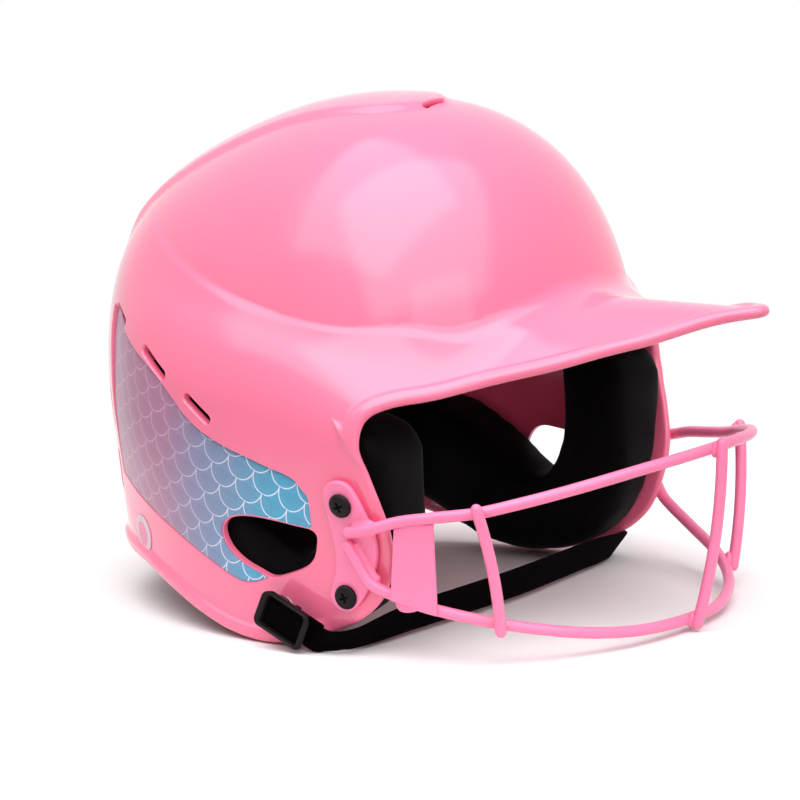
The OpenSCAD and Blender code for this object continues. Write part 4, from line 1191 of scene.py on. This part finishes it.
class HELMET_OT_guard(bpy.types.Operator):
    """Build the wires, bars, blade, mounting plates and their welds"""
    bl_idname = "helmet.guard"
    bl_label = "Face guard"

    def execute(self, context):
        z = sizes()
        skin = Skin(z)
        top, low = guard_lines(skin, z)
        r = z["wire_d"] / 2
        made = []
        for name, line in (("guard_wire_top", top), ("guard_wire_bottom", low)):
            made.append((make(name + "_rod", *tube(curve(line, 10), r)), name))
        beads = []
        for name, ends in zip(("guard_bar_right", "guard_bar_centre", "guard_bar_left"), BAR_ENDS):
            line, p, q, n = bar_path(top, low, ends, z)
            made.append((make(name + "_rod", *tube(line, r)), name))
            up = unit(p - q)
            for at in (p, q):
                beads.append(weld(at - n * r, n, up))
        made.append((self.blade(top, low, z), "guard_blade"))
        for side, name in ((1, "guard_plate_left"), (-1, "guard_plate_right")):
            made.append((self.plate(skin, z, side), name))
        # Points of each wire that lie on its plate
        for side in (1, -1):
            for line, count in ((top, 13), (low, 36)):
                pts = curve(line, 10)[::-side][:count]
                normals = skin.normal(unit(pts * [side, 1, 1] - CENTRE)) * [side, 1, 1]
                beads.append(saddle(pts, normals, z["wire_d"]))
        along = unit(wire_point(top, 2.6) - wire_point(top, 2.2))
        behind = unit([0.96, 0.25, 0])
        out = unit(BLADE_OUT)
        beads.append(weld(wire_point(top, 2.4) - [0, 0, r], behind, along, 5.0, 1.0))
        beads.append(weld(wire_point(low, 5.5) + out * r, out, along, 5.0, 1.0))
        made.append((make("guard_welds", *merged(beads), fix=False), None))
        for obj, name in made:
            sharpened(obj, 45)
            painted(obj, guard_paint())
            if name:
                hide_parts(name)
            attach(obj, "helmet")
        return {"FINISHED"}

    def blade(self, top, low, z):
        n = BLADE_OUT
        r = z["wire_d"] / 2

        def on(wire, ends, k):
            return wire_point(wire, ends[0] + (ends[1] - ends[0]) * k)

        def column(k):
            p = on(top, BLADE_ENDS[0], k) - [0, 0, r] - n * z["blade_t"] / 2
            q = on(low, BLADE_ENDS[1], k) + n * (r - SEAT) - [0, 0, 1.9]
            s = np.linspace(0, 1, 15)[:, None]
            return p + (q - p) * s

        grid = np.array([column(k) for k in np.linspace(0, 1, 9)])
        rings = []
        for j in range(grid.shape[1]):
            front = grid[:, j] + z["blade_t"] * n
            rings.append(np.vstack([grid[:, j], front[::-1]]))
        obj = make("guard_blade_strip", *loft(rings, cap=False))
        bm = bmesh.new()
        bm.from_mesh(obj.data)
        bmesh.ops.holes_fill(bm, edges=[e for e in bm.edges if e.is_boundary])
        bmesh.ops.recalc_face_normals(bm, faces=bm.faces)
        sharp = [e for e in bm.edges if len(e.link_faces) == 2 and e.calc_face_angle(0) > 0.9]
        bmesh.ops.bevel(bm, geom=sharp, offset=0.00055, segments=3, profile=0.6, affect="EDGES")
        bm.to_mesh(obj.data)
        bm.free()
        return obj

    def plate(self, skin, z, side):
        g, t = z["plate_gap"], z["plate_t"]
        outline = relaxed(curve(PLATE_EDGE, 6, closed=True), 0.9, 2)
        rows = [(-1.3, g), (-1.3, g + 0.55), (-0.35, g + 0.8), (0, g + 1.05)]
        for a in np.radians([0, 22, 45, 67, 90]):
            rows.append((-1.1 * (1 - math.cos(a)), g + t - 1.1 + 1.1 * math.sin(a)))
        name = "guard_plate_left_tab" if side > 0 else "guard_plate_right_tab"
        return cleaned(make(name, *slab(outline, rows, side_place(skin, side), 2.2)))


def side_axis(skin, y, z, side):
    """Point on the skin and the outward direction there."""
    p = skin.side(np.array([y, z]), np.float64(0))
    return p * [side, 1, 1], skin.normal(unit(p - CENTRE)) * [side, 1, 1]


class HELMET_OT_screws(bpy.types.Operator):
    """Turn the guard screws, with their cross recess, and the nuts behind the shell"""
    bl_idname = "helmet.screws"
    bl_label = "Screws and nuts"

    def execute(self, context):
        z, c = sizes(), colours()
        skin = Skin(z)
        black = surface("screw_black", c["screw"], 0.4, bump=0.5, grain=1500.0, wear=0.5, specular=0.12)
        steel = surface("steel", c["steel"], 0.32, bump=0.3, metallic=1.0, wear=0.4)
        lift = z["plate_t"] + z["plate_gap"] + 0.25
        R = z["head_d"] / 2 + 0.25
        w = z["wall"]
        for side, hand in ((1, "left"), (-1, "right")):
            for (y, h), level in zip(SCREW_AT, ("upper", "lower")):
                origin, n = side_axis(skin, y, h, side)
                head = [(0.05, -w - 2.9), (2.2, -w - 2.9), (2.4, -w - 2.7), (2.4, lift - 0.1),
                        (R - 0.4, lift), (R - 0.1, lift + 0.12), (R, lift + 0.45), (R - 0.1, lift + 0.95),
                        (R - 0.45, lift + 1.4), (R - 1.1, lift + 1.8), (R - 2.1, lift + 2.08),
                        (R - 3.2, lift + 2.2), (0.05, lift + 2.25)]
                obj = make(f"screw_{level}_{hand}_pan", *lathed(head, origin, n, 56))
                obj = self.recess(cleaned(obj), origin + n * (lift + 2.3), n)
                sharpened(obj, 35)
                painted(obj, black)
                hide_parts(f"screw_{level}_{hand}")
                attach(obj, "helmet")
                nut = [(2.5, -w - 4.25), (3.8, -w - 4.3), (4.05, -w - 4.1), (4.1, -w - 2.9),
                       (6.3, -w - 2.75), (6.5, -w - 2.5), (6.5, -w - 1.3), (6.3, -w - 1.12), (2.5, -w - 1.1)]
                obj = make(f"nut_{level}_{hand}_flanged", *lathed(nut, origin, n, 48, inner=True))
                sharpened(cleaned(obj), 35)
                painted(obj, steel)
                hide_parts(f"nut_{level}_{hand}")
                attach(obj, "helmet")
        return {"FINISHED"}

    def recess(self, obj, top, n):
        u = unit(np.cross(n, [0, 0.35, 1]))
        v = np.cross(n, u)
        for a, b in ((u, v), (v, u)):
            pts = []
            for long, wide, h in ((2.45, 0.62, 0.4), (2.3, 0.55, -0.2), (1.2, 0.3, -1.9)):
                pts.append([top + n * h + a * long * s + b * wide * q
                            for s, q in ((-1, -1), (1, -1), (1, 1), (-1, 1))])
            cut(obj, [make("cut_cross", *loft(pts))])
        return obj


# Liner
def cushion(obj, cap, voxel=0.0042, shrink=0.0006):
    """Foam pad swelled from a plain solid: remeshed, inflated as cloth, capped and subdivided."""
    applied(obj, "REMESH", mode="VOXEL", voxel_size=voxel)
    mesh = obj.data
    rest = read_vectors(mesh.vertices, "co") - read_vectors(mesh.vertices, "normal") * shrink
    mesh.vertices.foreach_set("co", rest.ravel())
    mesh.update()
    mod = obj.modifiers.new("Cloth", "CLOTH")
    cloth = mod.settings
    cloth.quality = 4
    cloth.use_pressure = True
    cloth.uniform_pressure_force = 4
    cloth.effector_weights.gravity = 0
    cloth.tension_stiffness = 20
    cloth.compression_stiffness = 20
    mod.point_cache.frame_start = 1
    mod.point_cache.frame_end = 20
    scene = bpy.context.scene
    for f in range(1, 21):
        scene.frame_set(f)
    shown = obj.evaluated_get(bpy.context.evaluated_depsgraph_get())
    push = read_vectors(shown.data.vertices, "co") - rest
    obj.modifiers.clear()
    scene.frame_set(1)
    size = np.linalg.norm(push, axis=1, keepdims=True)
    push *= cap * np.tanh(size / cap) / np.maximum(size, 1e-9)
    mesh.vertices.foreach_set("co", (rest + push).ravel())
    mesh.update()
    applied(obj, "SMOOTH", factor=0.5, iterations=2)
    applied(obj, "SUBSURF", levels=1)
    obj.data.polygons.foreach_set("use_smooth", [True] * len(obj.data.polygons))
    return obj


def side_pad(skin, z, side):
    """Side pad from the cheek down round the ear opening and back to the nape."""
    outline = relaxed(curve(np.array(PAD_EDGE) * [PAD_STRETCH, 1], 4, closed=True), 2.2, 2)
    back = z["wall"] + 1.3

    def place(pts, h):
        a = np.clip(pts[:, 0] / PAD_STRETCH, 57, 179.5)
        d = skin.belt(a, pts[:, 1])
        p = skin.at(d) - back * skin.normal(d)
        # The inner face is flat beside the head and follows the shell behind it
        flat_x = 67.5 + 6 * step((48 - pts[:, 1]) / 34)
        turn = step((a - 100) / 42)
        thick = (1 - turn) * (p[:, 0] - flat_x) + turn * 15
        inward = unit(np.stack([-d[:, 0], -d[:, 1] * turn, 0 * a], -1))
        return (p + (h * thick)[:, None] * inward) * [side, 1, 1]

    rows = [(-3.2, 0.0), (-1.2, 0.04), (-0.2, 0.12), (0.0, 0.3), (0.0, 0.55), (-0.1, 0.74), (-0.6, 0.88),
            (-1.5, 0.955), (-2.8, 0.99), (-4.5, 1.0)]
    return cleaned(make("pad_side_left_foam" if side > 0 else "pad_side_right_foam",
                        *slab(outline, rows, place, 4.0)))


class HELMET_OT_liner(bpy.types.Operator):
    """Inflate the liner pads"""
    bl_idname = "helmet.liner"
    bl_label = "Liner pads"

    def execute(self, context):
        z, c = sizes(), colours()
        skin = Skin(z)
        cloth = woven("pad_cloth", c["pad"], 1500.0, 1500.0, roughness=0.6, sheen=0.03, bump=0.25)
        pads = []
        for name in ("pad_brow", "pad_crown"):
            obj = bpy.data.objects.new(name + "_foam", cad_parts[name].data.copy())
            bpy.context.scene.collection.objects.link(obj)
            obj.matrix_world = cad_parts[name].matrix_world.copy()
            pads.append((obj, [name]))
        for side, hand in ((1, "left"), (-1, "right")):
            names = [f"pad_{part}_{hand}" for part in ("cheek", "jaw", "neck")]
            pads.append((side_pad(skin, z, side), names))
        for obj, names in pads:
            cushion(obj, 0.0016)
            painted(obj, cloth)
            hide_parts(*names)
            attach(obj, "helmet")
        return {"FINISHED"}


# Chin strap
def strap_stations(z, web_x):
    def leg(s, h, side):
        at = np.array([side * web_x, STUD_AT[0], STUD_AT[1]]) + WEB_DIR * s
        return at, h * WEB_SIDE, np.array([-side * z["web_t"] / 2, 0, 0])

    half = z["web_w"] / 2
    right = [leg(s, h * z["web_w"] / 13, -1) for s, h in WEB_LEGS]
    left = [leg(s, h * z["web_w"] / 13, 1) for s, h in reversed(WEB_LEGS)]
    run = [np.array([p[0] * web_x / 105.3, p[1], p[2]]) for p in WEB_RUN]
    path = [right[-1][0]] + run + [left[0][0]]
    free = []
    for i, p in enumerate(run):
        t = unit(path[i + 2] - path[i])
        side = unit(np.cross(t, [0, 0, 1]))
        a = math.radians(WEB_RUN[i][3])
        up = unit(math.cos(a) * np.array([0, 0, 1]) + math.sin(a) * side)
        w = unit(up - np.dot(up, t) * t)
        free.append((p, w * half, unit(np.cross(w, t)) * z["web_t"] / 2))
    return right + free + left


# Points round a strip's section, and the half width its UV layer counts, in metres
STRIP_SIDES = 24
STRIP_HALF = 0.0065


def with_uv(obj, name, rings, spacing):
    """UV layer of a lofted strip: length along it and the way across."""
    layer = obj.data.uv_layers.new(name=name)
    count = rings * STRIP_SIDES
    for poly in obj.data.polygons:
        for li in poly.loop_indices:
            v = obj.data.loops[li].vertex_index
            if v < count:
                k, i = divmod(v, STRIP_SIDES)
                across = math.cos(2 * math.pi * i / STRIP_SIDES)
                layer.data[li].uv = (spacing[k] / 1000, across * STRIP_HALF)
    return obj


class HELMET_OT_strap(bpy.types.Operator):
    """Lay the chin strap, its folded tail, the snap studs and the snap caps"""
    bl_idname = "helmet.strap"
    bl_label = "Chin strap"

    def execute(self, context):
        z, c = sizes(), colours()
        skin = Skin(z)
        stud_x = skin.side(np.array(STUD_AT), np.float64(0))[0]
        web_x = stud_x + WEB_OFF
        cloth = woven("strap_webbing", c["web"], 700.0, 1500.0, uv="strip", roughness=0.8, sheen=0.0,
                      bump=0.8, specular=0.02)
        stations = strap_stations(z, web_x)
        centres, wide, thick = (curve([s[k] for s in stations], 5) for k in range(3))
        web = make("chin_strap_web", *band(centres, wide, thick, STRIP_SIDES))
        with_uv(web, "strip", len(centres), lengths(centres))
        holes = []
        for side in (1, -1):
            axis = np.array([side, 0, 0])
            base = np.array([side * web_x, STUD_AT[0], STUD_AT[1]])
            holes.append(make("cut_web", *lathed([(3.6, -4), (3.6, 4)], base, axis, 40)))
        cut(cleaned(web), holes, "EXACT")
        sharpened(web, 50)
        painted(web, cloth)
        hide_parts("strap_web")
        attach(web, "chin_strap")
        # Tail: distance past the stud, how far it stands off, half thickness and share of its half width
        tail = [[-6.8, -1.7, 0.42, 0.5], [-6.4, -1, 0.42, 0.9], [-5.4, -0.3, 0.42, 1], [-3, 0, 0.6, 1],
                [2, 0.05, 0.6, 1], [7, 0.1, 0.6, 1], [12, 0.05, 0.6, 1], [16, 0, 0.6, 1]]
        half = z["web_w"] / 2 - 0.3
        mid = [np.array([-(web_x + 3.1 + e), STUD_AT[0], STUD_AT[1]]) + WEB_DIR * s for s, e, t, k in tail]
        centres = curve(mid, 5)
        wide = curve([WEB_SIDE * half * k for s, e, t, k in tail], 5)
        thick = curve([np.array([t, 0, 0]) for s, e, t, k in tail], 5)
        fold = make("chin_strap_tail", *band(centres, wide, thick, STRIP_SIDES))
        with_uv(fold, "strip", len(centres), lengths(centres))
        painted(fold, cloth)
        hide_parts("strap_tail")
        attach(fold, "chin_strap")
        black = surface("snap_black", c["buckle"], 0.35, bump=0.3, grain=1500.0, wear=0.4, specular=0.3)
        steel = surface("steel", c["steel"], 0.32, bump=0.3, metallic=1.0, wear=0.4)
        for side, hand in ((1, "left"), (-1, "right")):
            axis = np.array([side, 0, 0])
            base = np.array([0, STUD_AT[0], STUD_AT[1]])
            r = z["snap_d"] / 2
            cap = [(2.6, -2.15), (r - 0.3, -2.15), (r, -1.85), (r, -1.05), (r - 0.3, -0.76), (3.4, -0.75),
                   (3.3, -0.5), (3.3, 0.6), (3.4, 0.82), (r - 0.3, 0.85), (r, 1.05), (r - 0.35, 1.45),
                   (r - 1.2, 1.72), (r - 2.6, 1.8), (r - 3.4, 1.66), (1.2, 1.62), (0.05, 1.62), (0.05, 0.9),
                   (2.6, 0.85)]
            obj = make(f"snap_cap_{hand}_button", *lathed(cap, base + axis * web_x, axis, 56, inner=True))
            sharpened(cleaned(obj), 38)
            painted(obj, black)
            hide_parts(f"snap_cap_{hand}")
            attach(obj, "chin_strap")
            w = z["wall"]
            stud = [(0.05, -w - 3.5), (4.2, -w - 3.5), (4.9, -w - 3.1), (5, -w - 2.5), (4.7, -w - 2.25),
                    (2.4, -w - 2.2), (2.4, 0.85), (5.8, 0.95), (6, 1.2), (5.8, 1.8), (4.8, 2), (2.5, 2.05),
                    (2.1, 2.6), (2.1, 3.4), (2.45, 4), (2.45, 4.6), (2.1, 5), (0.05, 5.1)]
            obj = make(f"snap_stud_{hand}_rivet", *lathed(stud, base + axis * stud_x, axis, 48))
            sharpened(cleaned(obj), 38)
            painted(obj, steel)
            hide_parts(f"snap_stud_{hand}")
            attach(obj, "helmet")
        return {"FINISHED"}


class HELMET_OT_buckle(bpy.types.Operator):
    """Mould the slide buckle"""
    bl_idname = "helmet.buckle"
    bl_label = "Slide buckle"

    def execute(self, context):
        z, c = sizes(), colours()
        skin = Skin(z)
        web_x = skin.side(np.array(STUD_AT), np.float64(0))[0] + WEB_OFF
        up = -WEB_DIR
        origin = np.array([0, STUD_AT[0], STUD_AT[1]]) + WEB_DIR * 5.6
        out = np.array([-1.0, 0, 0])
        rail = z["web_w"] / 2 + 0.9

        def put(l, w, h):
            return origin + up * l + WEB_SIDE * w + out * (web_x + h)

        def rounded(half_l, half_w, r, m=9):
            a = np.radians(np.linspace(0, 90, m))
            pts = []
            for sl, sw, turn in ((1, 1, 0), (-1, 1, 1), (-1, -1, 2), (1, -1, 3)):
                b = a + turn * np.pi / 2
                pts.append(np.stack([sl * (half_l - r) + r * np.cos(b),
                                     sw * (half_w - r) + r * np.sin(b)], -1))
            return np.vstack(pts)

        L, W = z["buckle_l"] / 2, rail + 0.8
        rows = []
        # Outer and inner faces of the frame: how far inside the outline, and share of its height
        profile = [(0.35, 0.0), (0.0, 0.35), (0.0, 0.75), (0.12, 0.88), (0.4, 0.97), (0.8, 1.0)]
        inner = [(0.95, 1.0), (0.55, 0.93), (0.25, 0.75), (0.0, 0.5), (0.0, 0.12), (0.12, 0.0)]
        for grow, level in profile:
            ring = rounded(L - grow, W - grow, 3.4 - grow)
            rows.append(self.ring(ring, level, put))
        for grow, level in inner:
            ring = rounded(L - 3.2 + grow, rail - 0.8 + grow, 1.2 + grow)
            rows.append(self.ring(ring, level, put))
        rows.append(rows[0])
        parts = [loft(rows, cap=False)]
        bar = []
        a = np.arange(16) * np.pi / 8
        cs, sn = np.cos(a), np.sin(a)
        x = np.sign(cs) * np.abs(cs) ** 0.6
        y = np.sign(sn) * np.abs(sn) ** 0.6
        for w, k in ((-rail - 0.7, 0.75), (-rail - 0.5, 1), (-rail * 0.5, 1), (0, 1), (rail * 0.5, 1),
                     (rail + 0.5, 1), (rail + 0.7, 0.75)):
            bar.append([put(-3.5 + 1.3 * p * k, w, 1.47 + 0.57 * q * k) for p, q in zip(x, y)])
        parts.append(loft(bar))
        for s in (-1, 1):
            post = []
            for h in (1.0, 1.3, 2.0, 2.6):
                post.append([put(-3.5 + 1.3 * p, s * rail + 0.7 * q, h) for p, q in zip(x, y)])
            parts.append(loft(post))
        points, faces = merged(parts)
        obj = make("slide_buckle", points, faces, fix=False)
        cleaned(obj)
        sharpened(obj, 40)
        satin = surface("buckle_satin", c["buckle"], 0.42, bump=0.5, grain=1300.0, wear=0.5, specular=0.12)
        painted(obj, satin)
        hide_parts("buckle")
        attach(obj, "buckle")
        return {"FINISHED"}

    def ring(self, outline, level, put):
        """Outline of the frame at a level; its underside is raised at both ends to clear the strap."""
        out = []
        for l, w in outline:
            low = 2.05 + 2.1 * float(step((abs(l) - 9.6) / 1.6))
            out.append(put(l, w, low + (5.65 - low) * level))
        return out


# Stage
# Lamps: place, aim and size in millimetres, and the watts left once the soft edge has taken its share
LAMPS = [["overhead", (-800, -1250, 2500), (0, -20, 90), (5200, 5000), 108],
         ["upper", (-650, 100, 2150), (0, -20, 90), (3600, 3200), 48],
         ["fill", (-1100, -2300, 800), (0, 0, 110), (1900, 1700), 9]]
SOFT_EDGE_KEEPS = 0.7
# Surround: what diffuse surfaces see of it, and what they see of the floor's glow
WORLD_DIFFUSE = 0.38
FLOOR_DIFFUSE = 0.12
# Floor: half width and height in millimetres, and where it fades into the surround in metres
FLOOR_HALF = 1500
FLOOR_Z = -0.3
FLOOR_FADE = [0.12, 0.42]
# Camera: turn, height and roll in degrees, distance and target height in metres, pixels to a millimetre
# at the target, the pixel of the target, and the picture's side
VIEW_TURN = -54
VIEW_HEIGHT = 11.07
VIEW_ROLL = -1.838
VIEW_FAR = 3.0
VIEW_TARGET_Z = 0.1
VIEW_SCALE = 2.3818
VIEW_PIXEL = [402.84, 361.97]
PICTURE = 800
SENSOR = 36


class HELMET_OT_stage(bpy.types.Operator):
    """Set up the floor, the white surround, the lights and the camera"""
    bl_idname = "helmet.stage"
    bl_label = "Studio"

    def execute(self, context):
        scene = context.scene
        n = 24
        grid = np.linspace(-FLOOR_HALF, FLOOR_HALF, n)
        x, y = np.meshgrid(grid, grid)
        points = np.stack([x.ravel(), y.ravel(), np.full(n * n, FLOOR_Z)], -1)
        faces = [(j * n + i, j * n + i + 1, (j + 1) * n + i + 1, (j + 1) * n + i)
                 for j in range(n - 1) for i in range(n - 1)]
        floor = make("floor", points, faces, fix=False)
        painted(floor, self.paper())
        self.world(scene)
        for lamp in LAMPS:
            self.lamp(*lamp)
        self.camera(scene)
        scene.view_settings.view_transform = "Standard"
        return {"FINISHED"}

    def paper(self):
        """Pale floor that fades into the white surround away from the helmet."""
        mat = surface("floor_paper", (246, 245, 245), 0.8, bump=0.05, dark=0.99, specular=0.1)
        tree = mat.node_tree
        out = next(n for n in tree.nodes if n.type == "OUTPUT_MATERIAL")
        shader = out.inputs[0].links[0].from_socket
        at = node(tree, "ShaderNodeTexCoord").outputs["Object"]
        far = node(tree, "ShaderNodeVectorMath", {0: at}, operation="LENGTH").outputs["Value"]
        strength = maths(tree, "MAXIMUM", self.seen(tree), FLOOR_DIFFUSE)
        glow = node(tree, "ShaderNodeEmission", {0: (1, 1, 1, 1), 1: strength})
        mix = node(tree, "ShaderNodeMixShader", {0: ramp(tree, far, *FLOOR_FADE), 1: shader,
                                                 2: glow.outputs[0]})
        tree.links.new(mix.outputs[0], out.inputs[0])
        return mat

    def seen(self, tree):
        """Mask of the rays that look at a surface straight or through a reflection."""
        rays = node(tree, "ShaderNodeLightPath").outputs
        through = maths(tree, "MAXIMUM", rays["Is Glossy Ray"], rays["Is Transmission Ray"])
        return maths(tree, "MAXIMUM", rays["Is Camera Ray"], through)

    def world(self, scene):
        world = bpy.data.worlds.new("studio")
        scene.world = world
        world.use_nodes = True
        tree = world.node_tree
        tree.nodes.clear()
        white = node(tree, "ShaderNodeBackground", {0: (1, 1, 1, 1), 1: 1.0})
        soft = node(tree, "ShaderNodeBackground", {0: (1.0, 0.99, 0.985, 1), 1: WORLD_DIFFUSE})
        mix = node(tree, "ShaderNodeMixShader", {0: self.seen(tree), 1: soft.outputs[0],
                                                 2: white.outputs[0]})
        tree.links.new(mix.outputs[0], node(tree, "ShaderNodeOutputWorld").inputs[0])

    def lamp(self, name, at, target, size, power):
        """Area lamp whose light falls off softly towards its edges."""
        light = bpy.data.lights.new(name, "AREA")
        light.shape = "RECTANGLE"
        light.size, light.size_y = size[0] / 1000, size[1] / 1000
        light.energy = power / SOFT_EDGE_KEEPS
        light.use_nodes = True
        tree = light.node_tree
        tree.nodes.clear()
        across = node(tree, "ShaderNodeNewGeometry").outputs["Parametric"]
        spot = node(tree, "ShaderNodeSeparateXYZ", {0: across})
        level = None
        for socket in spot.outputs[:2]:
            off = maths(tree, "ABSOLUTE", maths(tree, "SUBTRACT", socket, 0.5))
            part = ramp(tree, off, 0.34, 0.5, 1.0, 0.0)
            level = part if level is None else maths(tree, "MULTIPLY", level, part)
        glow = node(tree, "ShaderNodeEmission", {0: (1, 1, 1, 1), 1: level})
        tree.links.new(glow.outputs[0], node(tree, "ShaderNodeOutputLight").inputs[0])
        obj = bpy.data.objects.new(name, light)
        bpy.context.scene.collection.objects.link(obj)
        obj.location = Vector(at) / 1000
        aim = Vector(target) / 1000 - obj.location
        obj.rotation_euler = aim.to_track_quat("-Z", "Y").to_euler()

    def camera(self, scene):
        az, el, roll = math.radians(VIEW_TURN), math.radians(VIEW_HEIGHT), math.radians(VIEW_ROLL)
        back = Vector((math.sin(az) * math.cos(el), -math.cos(az) * math.cos(el), math.sin(el)))
        right = Vector((math.cos(az), math.sin(az), 0))
        up = back.cross(right)
        x = right * math.cos(roll) + up * math.sin(roll)
        y = up * math.cos(roll) - right * math.sin(roll)
        cam = bpy.data.cameras.new("camera")
        cam.sensor_width = SENSOR
        cam.lens = VIEW_SCALE * VIEW_FAR * 1000 / PICTURE * SENSOR
        cam.shift_x = (PICTURE / 2 - VIEW_PIXEL[0]) / PICTURE
        cam.shift_y = (VIEW_PIXEL[1] - PICTURE / 2) / PICTURE
        cam.clip_end = 50
        obj = bpy.data.objects.new("camera", cam)
        scene.collection.objects.link(obj)
        turn = Matrix((x, y, back)).transposed().to_4x4()
        obj.matrix_world = Matrix.Translation(Vector((0, 0, VIEW_TARGET_Z)) + back * VIEW_FAR) @ turn
        scene.camera = obj


class HELMET_PT_panel(bpy.types.Panel):
    """Sidebar list of the helmet's pieces"""
    bl_label = "Batting helmet"
    bl_idname = "HELMET_PT_panel"
    bl_space_type = "VIEW_3D"
    bl_region_type = "UI"
    bl_category = "Helmet"

    def draw(self, context):
        for op in PIECES:
            self.layout.operator(op.bl_idname)
        for group in (context.scene.helmet_sizes, context.scene.helmet_colours):
            box = self.layout.box()
            for key in group.__annotations__:
                box.prop(group, key)


PIECES = (HELMET_OT_shell, HELMET_OT_films, HELMET_OT_guard, HELMET_OT_screws, HELMET_OT_liner,
          HELMET_OT_strap, HELMET_OT_buckle, HELMET_OT_stage)
CLASSES = (HelmetSizes, HelmetColours) + PIECES + (HELMET_PT_panel,)


def register():
    for cls in CLASSES:
        bpy.utils.register_class(cls)
    bpy.types.Scene.helmet_sizes = PointerProperty(type=HelmetSizes)
    bpy.types.Scene.helmet_colours = PointerProperty(type=HelmetColours)


def unregister():
    del bpy.types.Scene.helmet_colours
    del bpy.types.Scene.helmet_sizes
    for cls in reversed(CLASSES):
        bpy.utils.unregister_class(cls)


def main():
    register()
    bpy.ops.helmet.shell()
    bpy.ops.helmet.films()
    bpy.ops.helmet.guard()
    bpy.ops.helmet.screws()
    bpy.ops.helmet.liner()
    bpy.ops.helmet.strap()
    bpy.ops.helmet.buckle()
    bpy.ops.helmet.stage()


if __name__ == "__main__":
    main()
